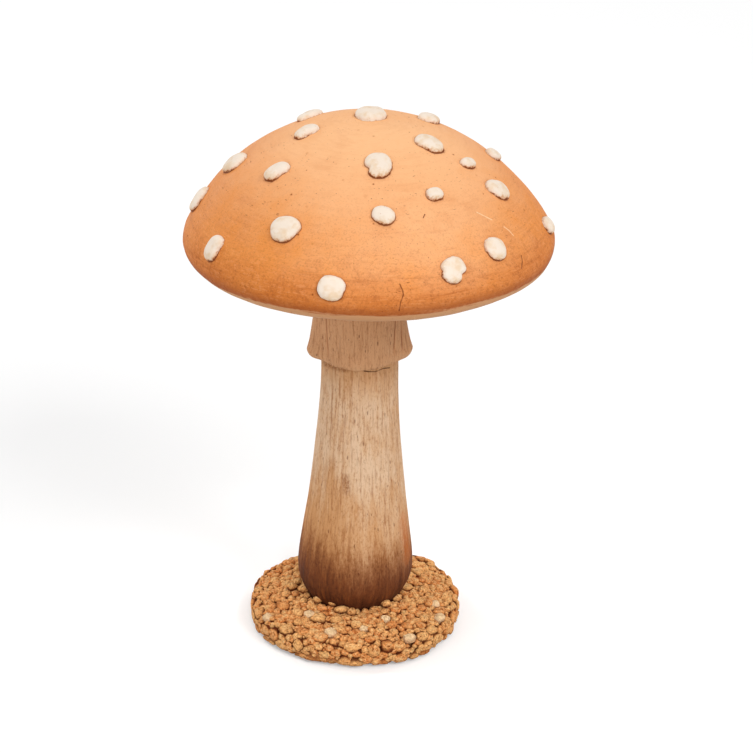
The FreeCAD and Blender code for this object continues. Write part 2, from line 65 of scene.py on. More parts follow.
def paint(red: int, green: int, blue: int) -> Colour:
    """Turns a colour as a screen shows it into the light that the shader takes.

    Args:
        red: Its red, 0 to 255.
        green: Its green.
        blue: Its blue.

    Returns:
        The colour, with full cover.
    """
    shares = (value / 255 for value in (red, green, blue))
    light = (s / 12.92 if s <= 0.04045 else ((s + 0.055) / 1.055) ** 2.4 for s in shares)
    return (*light, 1.0)


def ease(value: float, low: float, high: float) -> float:
    """Rises smoothly from 0 at one value to 1 at another."""
    share = min(max((value - low) / (high - low), 0.0), 1.0)
    return share * share * (3 - 2 * share)


def between(first: float, last: float, count: int) -> list[float]:
    """Gives both ends and the even steps between them."""
    return [first + (last - first) * i / count for i in range(count + 1)]


def ring_way(azimuth: float) -> Vector:
    """Gives the level direction at an azimuth."""
    return Vector((math.cos(azimuth), math.sin(azimuth), 0))


def round_axis(place: Vector) -> Pair:
    """Gives a place's distance from the upright axis, and its azimuth."""
    return math.hypot(place.x, place.y), math.atan2(place.y, place.x)


def arc(centre: Pair, radius: float, angles: Sequence[float]) -> list[Pair]:
    """Gives the points of an arc at angles above level."""
    return [(centre[0] + radius * math.cos(a), centre[1] + radius * math.sin(a)) for a in angles]


def curve_through(stations: Sequence[Pair], at: float) -> float:
    """Reads a smooth curve through rising stations.

    Args:
        stations: Pairs of place and value, in rising order of place.
        at: The place to read.

    Returns:
        The value there, held at the ends.
    """
    if at <= stations[0][0]:
        return stations[0][1]
    if at >= stations[-1][0]:
        return stations[-1][1]
    index = next(i for i in range(len(stations) - 1) if stations[i + 1][0] >= at)
    (x1, y1), (x2, y2) = stations[index], stations[index + 1]
    x0, y0 = stations[max(index - 1, 0)]
    x3, y3 = stations[min(index + 2, len(stations) - 1)]
    start_slope = (y2 - y0) / (x2 - x0)
    end_slope = (y3 - y1) / (x3 - x1)
    run = x2 - x1
    t = (at - x1) / run
    return (
        y1 * (1 + 2 * t) * (1 - t) ** 2
        + start_slope * run * t * (1 - t) ** 2
        + y2 * t * t * (3 - 2 * t)
        + end_slope * run * t * t * (t - 1)
    )


def lumps(place: Vector, length: float, salt: float = 0.0) -> float:
    """Gives an unevenness from about -1 to 1 whose swells are about that long; the salt sets it apart."""
    return noise.noise(place / length + Vector((salt, salt, salt)))


class Slot(Enum):
    """Names of the record's material slots for the new pieces' finishes. They are handed along with each
    piece but not used.
    """

    CAP = "cap_ceramic"
    WART = "wart_ceramic"
    UNDERSIDE = "underside_ceramic"
    STEM = "stem_ceramic"
    SKIRT = "skirt_ceramic"
    MORTAR = "mortar"
    GRIT = "grit_stone"
    PALE = "pale_stone"


class Signal:
    """A node's output, whose operators add Math nodes."""

    def __init__(self, recipe: "Recipe", socket: bpy.types.NodeSocket) -> None:
        """Wraps a socket.

        Args:
            recipe: The recipe that the socket's node is part of.
            socket: The output socket.
        """
        self.recipe = recipe
        self.socket = socket

    def _math(self, operation: str, *values: "Signal | float") -> "Signal":
        """Adds a Math node on the values."""
        return self.recipe.node("ShaderNodeMath", {"operation": operation}, dict(enumerate(values)))

    def __add__(self, other: "Signal | float") -> "Signal":
        """Adds."""
        return self._math("ADD", self, other)

    def __sub__(self, other: "Signal | float") -> "Signal":
        """Takes away."""
        return self._math("SUBTRACT", self, other)

    def __rsub__(self, other: float) -> "Signal":
        """Is taken away from a number."""
        return self._math("SUBTRACT", other, self)

    def __mul__(self, other: "Signal | float") -> "Signal":
        """Multiplies."""
        return self._math("MULTIPLY", self, other)

    def __truediv__(self, other: "Signal | float") -> "Signal":
        """Divides."""
        return self._math("DIVIDE", self, other)

    __radd__ = __add__
    __rmul__ = __mul__

    def limited(self) -> "Signal":
        """Keeps the value from 0 to 1."""
        return self.recipe.node("ShaderNodeClamp", {}, {0: self})

    def least(self, other: "Signal") -> "Signal":
        """Takes the lesser of two."""
        return self._math("MINIMUM", self, other)

    def most(self, other: "Signal") -> "Signal":
        """Takes the greater of two."""
        return self._math("MAXIMUM", self, other)

    def sway(self, amount: float) -> "Signal":
        """Turns noise round a half into noise round 0, that amount as strong."""
        return (self - 0.5) * amount

    def eased(self, low: float, high: float) -> "Signal":
        """Rises smoothly from 0 at one value to 1 at another, or falls where the second is less."""
        spread = {"Value": self, "From Min": low, "From Max": high, "To Min": 0.0, "To Max": 1.0}
        return self.recipe.node("ShaderNodeMapRange", {"interpolation_type": "SMOOTHSTEP"}, spread)

    def also(self, output: str) -> "Signal":
        """Gives another output of the same node."""
        return Signal(self.recipe, self.socket.node.outputs[output])

    def part(self, axis: str) -> "Signal":
        """Gives one coordinate, X, Y or Z, of a vector."""
        return self.recipe.node("ShaderNodeSeparateXYZ", {}, {0: self}, axis)

    def stretched(self, shares: Triple) -> "Signal":
        """Multiplies a vector's coordinates.

        Args:
            shares: What each coordinate is multiplied by.

        Returns:
            The vector.
        """
        if shares == EVEN:
            return self
        return self.recipe.node("ShaderNodeVectorMath", {"operation": "MULTIPLY"}, {0: self, 1: shares})

    def cells(self, pitch: float, feature: str = "F1") -> "Signal":
        """Gives how far a place is from scattered points, or from the lines between their cells."""
        values = {"Vector": self, "Scale": 1 / pitch}
        return self.recipe.node("ShaderNodeTexVoronoi", {"feature": feature}, values, "Distance")


class Recipe:
    """A material, or the light of a room, in the making."""

    def __init__(self, name: str, room: bool = False) -> None:
        """Starts a material, or the light of a room.

        Args:
            name: Its name.
            room: Whether it is the light of a room.
        """
        self.made = (bpy.data.worlds if room else bpy.data.materials).new(name)
        self.made.use_nodes = True
        self.tree = self.made.node_tree
        self.shader = self.tree.nodes["Background" if room else "Principled BSDF"]

    def feed(self, node: bpy.types.Node, inputs: dict) -> None:
        """Sets a node's sockets.

        Args:
            node: The node.
            inputs: Values or signals for its sockets, by name or number.
        """
        for key, value in inputs.items():
            if isinstance(value, Signal):
                self.tree.links.new(value.socket, node.inputs[key])
            else:
                node.inputs[key].default_value = value

    def node(self, kind: str, settings: dict | None = None, inputs: dict | None = None,
             output: int | str = 0) -> Signal:
        """Adds a node.

        Args:
            kind: The node's type.
            settings: Its own settings.
            inputs: Values or signals for its sockets, by name or number.
            output: The name or number of the output to give back.

        Returns:
            That output.
        """
        made = self.tree.nodes.new(kind)
        for name, value in (settings or {}).items():
            setattr(made, name, value)
        self.feed(made, inputs or {})
        return Signal(self, made.outputs[output])

    def place(self) -> Signal:
        """Gives the point in the object's own coordinates, in metres."""
        return self.node("ShaderNodeTexCoord", output="Object")

    def marked(self, name: str, output: str = "Fac") -> Signal:
        """Reads an attribute of the mesh."""
        return self.node("ShaderNodeAttribute", {"attribute_name": name}, output=output)

    def away_from(self, place: Signal, start: Vector, end: Vector) -> Signal:
        """Measures from a straight line.

        Args:
            place: Where to measure.
            start: One end of the line.
            end: Its other end.

        Returns:
            How far the place is from the line.
        """
        run = end - start
        off = self._vector("SUBTRACT", "Vector", {0: place, 1: start})
        along = self._vector("DOT_PRODUCT", "Value", {0: off, 1: run / run.length_squared})
        foot = self._vector("SCALE", "Vector", {0: run, "Scale": along.limited()})
        return self._vector("DISTANCE", "Value", {0: off, 1: foot})

    def _vector(self, operation: str, output: str, inputs: dict) -> Signal:
        """Adds a Vector Math node."""
        return self.node("ShaderNodeVectorMath", {"operation": operation}, inputs, output)

    def lines(self, place: Signal, runs: Sequence[Sequence[Vector]], width: float) -> Signal:
        """Draws ragged lines.

        Args:
            place: Where to read them.
            runs: The points of each line.
            width: How far a line reaches to each side.

        Returns:
            1 on a line and 0 outside its width.
        """
        ragged = Cloud(1.2 * MM, 2.0).over(place).sway(width)
        total = 0.0
        for points in runs:
            away = [self.away_from(place, start, end) for start, end in zip(points, points[1:])]
            total = total + (reduce(Signal.least, away) + ragged).eased(width, width * 0.25)
        return total.limited()

    def blend(self, share: "Signal | float", first: "Signal | Colour", second: "Signal | Colour") -> Signal:
        """Mixes from one colour to another."""
        values = {0: share, 6: first, 7: second}
        return self.node("ShaderNodeMix", {"data_type": "RGBA"}, values, 2)

    def layered(self, ground: "Signal | Colour", *coats: "tuple[Signal | float, Signal | Colour]") -> Signal:
        """Lays coats of colour over a ground.

        Args:
            ground: The colour below.
            coats: How much each coat covers, and its colour, from the lowest up.

        Returns:
            The colour on top.
        """
        for share, colour in coats:
            ground = self.blend(share, ground, colour)
        return ground

    def dress(self, colour: Signal, roughness: Signal, height: Signal, depth: float,
              gloss: float = 0.5) -> bpy.types.Material:
        """Feeds the shader.

        Args:
            colour: The base colour.
            roughness: The roughness.
            height: The relief, where 1 stands a depth above 0.
            depth: That depth, in metres.
            gloss: The specular level, the same all over.

        Returns:
            The finished material.
        """
        bump = self.node("ShaderNodeBump", {}, {"Distance": depth, "Height": height}, "Normal")
        self.feed(self.shader, {"Base Color": colour, "Roughness": roughness, "Normal": bump})
        self.feed(self.shader, {"Specular IOR Level": gloss})
        return self.made


@dataclass(frozen=True)
class Cloud:
    """Soft noise, about 0 to 1: the size of its largest swells, its detail and its roughness.

    The stretch is how much closer it lies along each axis.
    """

    size: float
    detail: float = 3.0
    rough: float = 0.55
    stretch: Triple = EVEN

    def over(self, place: Signal) -> Signal:
        """Spreads the noise over a place.

        Args:
            place: Where to read it.

        Returns:
            The noise.
        """
        values = {"Scale": 1 / self.size, "Detail": self.detail, "Roughness": self.rough}
        values["Vector"] = place.stretched(self.stretch)
        return place.recipe.node("ShaderNodeTexNoise", {}, values, "Fac")


@dataclass(frozen=True)
class Specks:
    """Round specks, of one largest radius.

    The pitch is the distance between places where one can be, the share is how many of those places
    have one, and the stretch is how much closer they lie along each axis.
    """

    pitch: float
    radius: float
    share: float
    stretch: Triple = EVEN

    def over(self, place: Signal) -> Signal:
        """Spreads the specks over a place.

        Args:
            place: Where to read them.

        Returns:
            1 in a speck and 0 outside.
        """
        away = place.stretched(self.stretch).cells(self.pitch)
        chance, size = (
            place.recipe.node("ShaderNodeSeparateColor", {}, {0: away.also("Color")}, part) for part in (0, 1)
        )
        reach = (0.4 + 0.6 * size) * (self.radius / self.pitch)
        return (away / reach).eased(1.0, 0.6) * chance.eased(1 - self.share, 1.01 - self.share)


class Bench:
    """Modelling steps that the pieces share."""

    @staticmethod
    def clear() -> None:
        """Leaves edit mode and selects nothing."""
        if bpy.context.object and bpy.context.object.mode != "OBJECT":
            bpy.ops.object.mode_set(mode="OBJECT")
        bpy.ops.object.select_all(action="DESELECT")
        bpy.context.view_layer.objects.active = None

    @classmethod
    def turn(cls, name: str, outline: Sequence[Pair], steps: int) -> bpy.types.Object:
        """Turns an outline round the upright axis into a closed form.

        Args:
            name: The new object's name.
            outline: Pairs of radius and height. It starts and ends on the axis, or ends where it starts.
            steps: How many steps make a full turn.

        Returns:
            The new object.
        """
        cls.clear()
        bpy.ops.mesh.primitive_plane_add(size=MM, location=(0, 0, 0))
        turned = bpy.context.object
        turned.name = turned.data.name = name
        bpy.ops.object.mode_set(mode="EDIT")
        bpy.ops.mesh.select_all(action="SELECT")
        bpy.ops.mesh.merge(type="CENTER")
        radius, height = outline[0]
        bpy.ops.transform.translate(value=(radius, 0, height))
        for next_radius, next_height in outline[1:]:
            step = (next_radius - radius, 0, next_height - height)
            bpy.ops.mesh.extrude_vertices_move(TRANSFORM_OT_translate={"value": step})
            radius, height = next_radius, next_height
        bpy.ops.mesh.select_all(action="SELECT")
        bpy.ops.mesh.spin(steps=steps, angle=2 * math.pi, center=(0, 0, 0), axis=(0, 0, 1))
        bpy.ops.mesh.select_all(action="SELECT")
        bpy.ops.mesh.remove_doubles(threshold=0.01 * MM)
        bpy.ops.mesh.normals_make_consistent(inside=False)
        bpy.ops.object.mode_set(mode="OBJECT")
        return turned

    @staticmethod
    def shape(piece: bpy.types.Object, move: Callable[[Vector], Vector]) -> None:
        """Moves each vertex of a piece by a rule.

        Args:
            piece: The piece.
            move: Gives a vertex's new place from its old one.
        """
        for vertex in piece.data.vertices:
            vertex.co = move(vertex.co)
        piece.data.update()

    @staticmethod
    def mark(piece: bpy.types.Object, name: str, values: Sequence[float | Vector]) -> None:
        """Writes on each vertex what a finish reads there.

        Args:
            piece: The piece.
            name: The name that the finish knows it by.
            values: A number or a vector for each vertex.
        """
        if isinstance(values[0], Vector):
            layer = piece.data.attributes.new(name, "FLOAT_VECTOR", "POINT")
            layer.data.foreach_set("vector", [part for value in values for part in value])
        else:
            layer = piece.data.attributes.new(name, "FLOAT", "POINT")
            layer.data.foreach_set("value", values)

    @classmethod
    def mark_around(cls, piece: bpy.types.Object, lay: Callable[[Vector], Vector]) -> None:
        """Writes on each vertex where it lies round the turned form, for patterns that follow it."""
        cls.mark(piece, "around", [lay(vertex.co) for vertex in piece.data.vertices])

    @staticmethod
    def copy(piece: bpy.types.Object, name: str) -> bpy.types.Object:
        """Copies a piece with its own mesh.

        Args:
            piece: The piece.
            name: The copy's name.

        Returns:
            The copy.
        """
        twin = bpy.data.objects.new(name, piece.data.copy())
        bpy.context.scene.collection.objects.link(twin)
        return twin

    @classmethod
    def pick(cls, *pieces: bpy.types.Object) -> None:
        """Selects these pieces alone, with the first one active.

        Args:
            pieces: The pieces.
        """
        cls.clear()
        for piece in pieces:
            piece.select_set(True)
        bpy.context.view_layer.objects.active = pieces[0]

    @classmethod
    def join(cls, pieces: Sequence[bpy.types.Object], name: str) -> bpy.types.Object:
        """Joins pieces into one object.

        Args:
            pieces: The pieces.
            name: The new object's name.

        Returns:
            The one object.
        """
        cls.pick(*pieces)
        bpy.ops.object.join()
        joined = bpy.context.object
        joined.name = joined.data.name = name
        return joined

    @classmethod
    def hand_over(cls, piece: bpy.types.Object, material: bpy.types.Material, slot: Slot,
                  nodes: Sequence[str]) -> None:
        """Dresses a finished piece and puts it in the place of its nodes.

        Args:
            piece: The finished piece.
            material: Its finish.
            slot: The record's slot for that finish. It is not used.
            nodes: The nodes that it stands for.
        """
        piece.data.materials.clear()
        piece.data.materials.append(material)
        cls.pick(piece)
        bpy.ops.object.shade_smooth()
        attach(piece, "root")
        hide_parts(*nodes)
        log.info("%s: %d faces, stands for %s", piece.name, len(piece.data.polygons), ", ".join(nodes))


@dataclass(frozen=True)
class Viewpoint:
    """The photograph's camera."""

    place: Vector = field(default_factory=lambda: Vector((10.15, -889.6, 518.1)) * MM)
    look_down: float = 24.08 * DEGREE
    lens: float = 105.83
    sensor: float = 36.0
    frame_pixels: int = 753
    land_steps: int = 200
    step_share: float = 0.9

    def ray(self, pixel: Pixel) -> Vector:
        """Gives the direction in which the camera sees a pixel.

        Args:
            pixel: The pixel, in the photograph's frame.

        Returns:
            The direction, 1 long.
        """
        middle = self.frame_pixels / 2
        reach = self.lens / self.sensor * self.frame_pixels
        across, up = (pixel[0] - middle) / reach, (middle - pixel[1]) / reach
        return (self._turn() @ Vector((across, up, -1))).normalized()

    def land(self, pixel: Pixel, gap: Callable[[Vector], float]) -> Vector:
        """Finds what lies behind a pixel.

        Args:
            pixel: The pixel, in the photograph's frame.
            gap: How far a point is, at least, from the surface.

        Returns:
            The point of the surface that the camera sees there.
        """
        ray = self.ray(pixel)
        point = self.place.copy()
        for _ in range(self.land_steps):
            point += ray * gap(point) * self.step_share
        return point

    def _turn(self) -> Matrix:
        """Gives the camera's turn."""
        return Matrix.Rotation(RIGHT_ANGLE - self.look_down, 3, "X")

    def build(self) -> None:
        """Makes the camera."""
        Bench.clear()
        bpy.ops.object.camera_add(location=self.place, rotation=self._turn().to_euler())
        camera = bpy.context.object
        camera.name = "photo_camera"
        camera.data.lens = self.lens
        camera.data.sensor_width = self.sensor
        camera.data.clip_start = 10 * MM
        camera.data.clip_end = 100.0
        bpy.context.scene.camera = camera
        log.info("camera in place")


@dataclass(frozen=True)
class CapForm:
    """The cap's skin: a dome that meets a tighter rim, uneven as a hand leaves it.

    A place on it is named by its azimuth and by the tilt of its normal above level. Its swells are
    triples of depth, length and salt. The finish is laid out on an upright drum of one radius.
    """

    centre_x: float = 7.0 * MM
    radius: float = 79.3 * MM
    widest_height: float = 187.0 * MM
    rise: float = 51.9 * MM
    rim_radius: float = 10.3 * MM
    seam_tilt: float = -61 * DEGREE
    lean: float = 0.5 * DEGREE
    flat_shoulder: float = 0.9 * MM
    shoulder_tilt: float = 48 * DEGREE
    shoulder_spread: float = 22 * DEGREE
    drum: float = 60 * MM
    swells: tuple[Triple, ...] = (
        (0.45 * MM, 42 * MM, 3.7), (0.13 * MM, 10 * MM, 1.3), (0.035 * MM, 3.2 * MM, 8.1),
    )

    @property
    def rim_ring(self) -> float:
        """The radius of the circle of the rim's centres."""
        return self.radius - self.rim_radius

    @property
    def dome_drop(self) -> float:
        """How far the dome's centre lies below the widest level."""
        crown = self.rise - self.rim_radius
        return (self.rim_ring**2 - crown**2) / (2 * crown)

    @property
    def dome_radius(self) -> float:
        """The dome's radius."""
        return self.rise + self.dome_drop

    @property
    def meet_tilt(self) -> float:
        """The tilt at which the dome meets the rim."""
        return math.atan2(self.dome_drop, self.rim_ring)

    def _arc(self, tilt: float) -> Triple:
        """Gives the arc of the even form at a tilt.

        Args:
            tilt: The tilt.

        Returns:
            Its centre's radius and height, and its own radius.
        """
        if tilt >= self.meet_tilt:
            return 0.0, self.widest_height - self.dome_drop, self.dome_radius
        return self.rim_ring, self.widest_height, self.rim_radius

    def outline(self, tilts: Sequence[float], out: float) -> list[Pair]:
        """Draws the even form.

        Args:
            tilts: The tilts to draw it at.
            out: How far out from the skin to draw it.

        Returns:
            Pairs of radius and height.
        """
        points = []
        for tilt in tilts:
            ring, height, reach = self._arc(tilt)
            points += arc((ring, height), reach + out, [tilt])
        return points

    def even(self, azimuth: float, tilt: float, out: float = 0.0) -> Vector:
        """Gives a place on the even form, or out from it."""
        (radius, height), = self.outline([tilt], out)
        return Vector((self.centre_x + radius * math.cos(azimuth), radius * math.sin(azimuth), height))

    def uneven(self, azimuth: float, tilt: float) -> float:
        """Gives what the hand added to the form.

        Args:
            azimuth: The place's azimuth.
            tilt: The place's tilt.

        Returns:
            How far out the skin is there.
        """
        place = self.even(azimuth, tilt)
        off_shoulder = (tilt - self.shoulder_tilt) / self.shoulder_spread
        bulge = sum(depth * lumps(place, length, salt) for depth, length, salt in self.swells)
        return bulge - self.flat_shoulder * math.cos(azimuth) * math.exp(-off_shoulder**2)

    def at(self, azimuth: float, tilt: float, out: float = 0.0) -> Vector:
        """Gives a place on the real skin, or out from it.

        Args:
            azimuth: The place's azimuth.
            tilt: The place's tilt.
            out: How far out from the skin it is.

        Returns:
            The place.
        """
        place = self.even(azimuth, tilt, out + self.uneven(azimuth, tilt))
        pivot = Vector((self.centre_x, 0, self.widest_height))
        return pivot + Matrix.Rotation(self.lean, 3, "Y") @ (place - pivot)

    def locate(self, place: Vector) -> Triple:
        """Names a place near the even form.

        Args:
            place: The place.

        Returns:
            Its azimuth, its tilt and how far out it is.
        """
        radius, azimuth = round_axis(place - Vector((self.centre_x, 0, 0)))
        dome_height = self.widest_height - self.dome_drop
        tilt = math.atan2(place.z - dome_height, radius)
        if tilt < self.meet_tilt:
            tilt = math.atan2(place.z - self.widest_height, radius - self.rim_ring)
        ring, height, reach = self._arc(tilt)
        return azimuth, tilt, math.hypot(radius - ring, place.z - height) - reach

    def gap(self, place: Vector) -> float:
        """Gives how far a point is from the skin."""
        return self.locate(place)[2]

    def way_down(self, tilt: float) -> float:
        """Gives the way over the skin from the top to a tilt."""
        dome = (RIGHT_ANGLE - max(tilt, self.meet_tilt)) * self.dome_radius
        return dome + max(self.meet_tilt - tilt, 0) * self.rim_radius

    def on_drum(self, azimuth: float, tilt: float) -> Vector:
        """Gives where a place of the cap lies on the drum."""
        return Vector((self.drum * math.cos(azimuth), self.drum * math.sin(azimuth), self.way_down(tilt)))

    def lay(self, place: Vector) -> Vector:
        """Gives where a point near the cap lies on the drum."""
        azimuth, tilt, _ = self.locate(place)
        return self.on_drum(azimuth, tilt)


@dataclass(frozen=True)
class CapPaint:
    """Matt orange, paler over the top and browned at the rim, with specks, cracks and scratches. The paleness
    is partly a lighter paint wash and partly painted light from above, with a painted sheen round the front.
    The brown just above the paint's edge is partly browned paint and partly painted shade under the rim.

    Its levels are pairs of heights: where a coat starts to show, and where it shows in full.
    """

    # The pale colour serves the paler paint wash, the painted light from above, the painted sheen round the
    # front and light streaks.
    pale: Colour = paint(243, 178, 124)
    orange: Colour = paint(229, 144, 71)
    # The top colour is partly paler paint and partly painted light from above.
    top: Colour = paint(253, 202, 150)
    deep: Colour = paint(199, 109, 39)
    rim: Colour = paint(140, 64, 22)
    bare: Colour = paint(212, 160, 114)
    speck: Colour = paint(118, 50, 14)
    scratch: Colour = paint(255, 218, 174)
    crack_width: float = 0.32 * MM
    scratch_width: float = 0.42 * MM
    # Where the painted sheen round the front is centred, how far it reaches, and its full middle.
    sheen_place: Pair = (-72 * DEGREE, 54 * DEGREE)
    sheen_reach: float = 76 * MM
    sheen_heart: float = 12 * MM
    paint_edge: float = 181.9 * MM
    edge_ragged: Pair = (4.5 * MM, 1.5 * MM)
    # Heights of the brown band above the paint's edge, which is partly browned paint and partly painted shade
    # under the rim.
    edge_brown_and_shade: Pair = (5.5 * MM, 0.6 * MM)
    edge_worn: Pair = (0.5 * MM, -0.7 * MM)
    # Heights of the paler wash and of the top coat, each partly paint and partly painted light from above.
    wash_and_light_levels: Pair = (198 * MM, 234 * MM)
    top_levels: Pair = (218 * MM, 242 * MM)
    cloudy_levels: Pair = (240 * MM, 196 * MM)
    belt_levels: Pair = (203 * MM, 182 * MM)
    streak_levels: Pair = (222 * MM, 186 * MM)
    smudge_levels: Pair = (208 * MM, 184 * MM)
    grain_levels: Pair = (246 * MM, 190 * MM)
    patches: Cloud = Cloud(40 * MM, 4.0, 0.6)
    blots: Cloud = Cloud(13 * MM, 3.0, 0.6)
    mottle: Cloud = Cloud(4 * MM, 4.0, 0.65)
    rough: Cloud = Cloud(2.0 * MM, 4.0, 0.75)
    grain: Cloud = Cloud(0.8 * MM, 4.0, 0.7)
    crowds: Cloud = Cloud(30 * MM, 2.0)
    brushed: Cloud = Cloud(22 * MM, 5.0, 0.68, (1, 1, 11))
    hairs: Cloud = Cloud(5 * MM, 3.0, 0.7, (1, 1, 9))
    halos: Specks = Specks(3.0 * MM, 0.95 * MM, 0.13)
    dots: Specks = Specks(3.0 * MM, 0.5 * MM, 0.1)
    fine: Specks = Specks(1.4 * MM, 0.34 * MM, 0.3)
    dashes: Specks = Specks(3.2 * MM, 0.9 * MM, 0.25, (1, 1, 3.4))

    def mix(self, recipe: Recipe, form: CapForm, cracks: Sequence[Sequence[Vector]],
            scratches: Sequence[Sequence[Vector]]) -> tuple[Signal, Signal, Signal]:
        """Mixes the paint.

        Args:
            recipe: The material that it goes into.
            form: The cap that it lies on.
            cracks: The points of each crack.
            scratches: The points of each scratch.

        Returns:
            Its colour, roughness and relief.
        """
        place = recipe.place()
        around = recipe.marked("around", "Vector")
        height = place.part("Z")
        patches, blots, mottle, rough, grain = (
            cloud.over(place) for cloud in (self.patches, self.blots, self.mottle, self.rough, self.grain)
        )
        brushed, hairs = self.brushed.over(around), self.hairs.over(around)
        # Painted sheen: a pale patch round the front, where the key light's sheen falls. The paler wash
        # higher up is partly paint and partly painted light from above.
        heart = form.even(*self.sheen_place)
        wash_and_sheen = recipe.away_from(place, heart, heart + UP * MM).eased(self.sheen_reach, self.sheen_heart)
        wash_and_sheen = wash_and_sheen * 0.7 + height.eased(*self.wash_and_light_levels) * 0.5
        wash_and_sheen = (wash_and_sheen + patches.sway(1.2) + blots.sway(0.9) + mottle.sway(0.6)).limited()
        cloudy = (mottle * 0.5 + blots * 0.5).eased(0.42, 0.68) * height.eased(*self.cloudy_levels)
        belt = height.eased(*self.belt_levels) + brushed.sway(0.9) + blots.sway(0.9)
        streaks = (hairs.eased(0.52, 0.72) * 0.5 + brushed.eased(0.55, 0.7)).limited()
        streaks = streaks * height.eased(*self.streak_levels)
        smudges = (mottle * 0.4 + rough * 0.6).eased(0.50, 0.66) * height.eased(*self.smudge_levels)
        brush_drag, blot_drag = self.edge_ragged
        edge = height + brushed.sway(brush_drag) + mottle.sway(blot_drag) - self.paint_edge
        crowded = self.crowds.over(place).eased(0.42, 0.62)
        pits = self.dots.over(place) + self.fine.over(place) * (0.25 + 0.75 * crowded) * 0.8
        pits = (pits + self.dashes.over(around) * crowded * 0.75).limited()
        split = recipe.lines(place, cracks, self.crack_width)
        scraped = recipe.lines(place, scratches, self.scratch_width)
        colour = recipe.layered(
            self.orange,
            (wash_and_sheen, self.pale),
            # Partly paler top paint, partly painted light from above.
            (height.eased(*self.top_levels) * 0.5, self.top),
            (cloudy * 0.24, self.deep),
            ((belt * (0.88 - wash_and_sheen * 0.3)).limited(), self.deep),
            (streaks * 0.26, self.rim),
            (smudges * 0.4, self.rim),
            (grain.eased(0.5, 0.36) * height.eased(*self.grain_levels) * 0.28, self.rim),
            ((rough * 0.5 + hairs * 0.5).eased(0.49, 0.38) * 0.2, self.pale),
            # Brown just above the paint's edge: partly browned paint, partly painted shade under the rim.
            (edge.eased(*self.edge_brown_and_shade) * 0.5, self.rim),
            (edge.eased(*self.edge_worn) * 0.85, self.bare),
            (self.halos.over(place) * 0.3, self.deep),
            (pits * 0.76, self.speck),
            (split * 0.85, self.speck),
            (scraped * 0.6, self.scratch),
        )
        roughness = 0.52 + 0.2 * mottle - 0.08 * wash_and_sheen + 0.2 * pits
        relief = 0.5 + grain.sway(0.45) + brushed.sway(0.6) + hairs.sway(0.35)
        return colour, roughness, relief - pits * 0.35 - split - scraped * 0.3


@dataclass(frozen=True)
class WartSlip:
    """Cream slip with brown left round its foot, fading into the cap's paint, and painted shade on its
    downhill flank.
    """

    cream: Colour = paint(238, 222, 205)
    # The warm colour serves both the slip's warm patches and the painted shade on the downhill flank.
    warm: Colour = paint(228, 198, 162)
    stain: Colour = paint(200, 136, 80)
    dirt: Colour = paint(128, 64, 24)
    smear: Colour = CapPaint.rim
    ragged: Cloud = Cloud(1.5 * MM, 4.0, 0.68)
    soft: Cloud = Cloud(4.5 * MM)
    pores: Specks = Specks(1.5 * MM, 0.26 * MM, 0.2)
    relief_depth: float = 0.25 * MM

    def mix(self, recipe: Recipe, ground: tuple[Signal, Signal, Signal]) -> bpy.types.Material:
        """Mixes the slip over the cap's paint.

        Args:
            recipe: The material that it goes into.
            ground: The cap's colour, roughness and relief.

        Returns:
            The finished material.
        """
        place = recipe.place()
        down, low_side = recipe.marked("down"), recipe.marked("low_side")
        ragged, soft, pores = (pattern.over(place) for pattern in (self.ragged, self.soft, self.pores))
        # Painted shade: the downhill, lower flank of each wart is tinted warmer and darker.
        painted_shade = low_side + down * 0.7 + ragged.sway(2.2)
        low = down + ragged.sway(1.4) + low_side * 0.25
        off = down + ragged.sway(1.1) - low_side * 0.08
        colour = recipe.layered(
            self.cream,
            (soft.eased(0.44, 0.74) * 0.8, self.warm),
            (painted_shade.eased(0.6, 1.6) * 0.8, self.warm),
            (low.eased(0.55, 1.0) * 0.75, self.stain),
            (low.eased(0.88, 1.04) * 0.95, self.dirt),
            (pores * 0.45, self.stain),
            (off.eased(1.14, 1.36), recipe.blend(off.eased(1.9, 1.1) * 0.42, ground[0], self.smear)),
        )
        relief = 0.5 + ragged.sway(0.5) + soft.sway(0.5) - pores * 0.5
        return recipe.dress(colour, 0.62 + ragged * 0.2, relief, self.relief_depth, 0.2)


@dataclass(frozen=True)
class Wart:
    """A dab of slip on the cap.

    Its azimuth, tilt and turn are in degrees, and its half length and half width are shares of the
    wart radius. Each dent in its outline has an angle from the long axis, a depth share and a spread.
    """

    azimuth: float
    tilt: float
    turn: float
    length: float
    width: float
    dents: tuple[Triple, ...] = ()
    thickness: float = 1.0
    squareness: float = 2.3

    def reach(self, angle: float) -> float:
        """Gives the outline's reach.

        Args:
            angle: The angle from the long axis.

        Returns:
            The reach, as a share of the wart radius.
        """
        sharp = self.squareness
        across = abs(math.cos(angle) / self.length) ** sharp + abs(math.sin(angle) / self.width) ** sharp
        reach = across ** (-1 / sharp)
        for place, depth, spread in self.dents:
            off = (angle / DEGREE - place + 180) % 360 - 180
            reach *= 1 - depth * math.exp(-((off / spread) ** 2))
        return reach


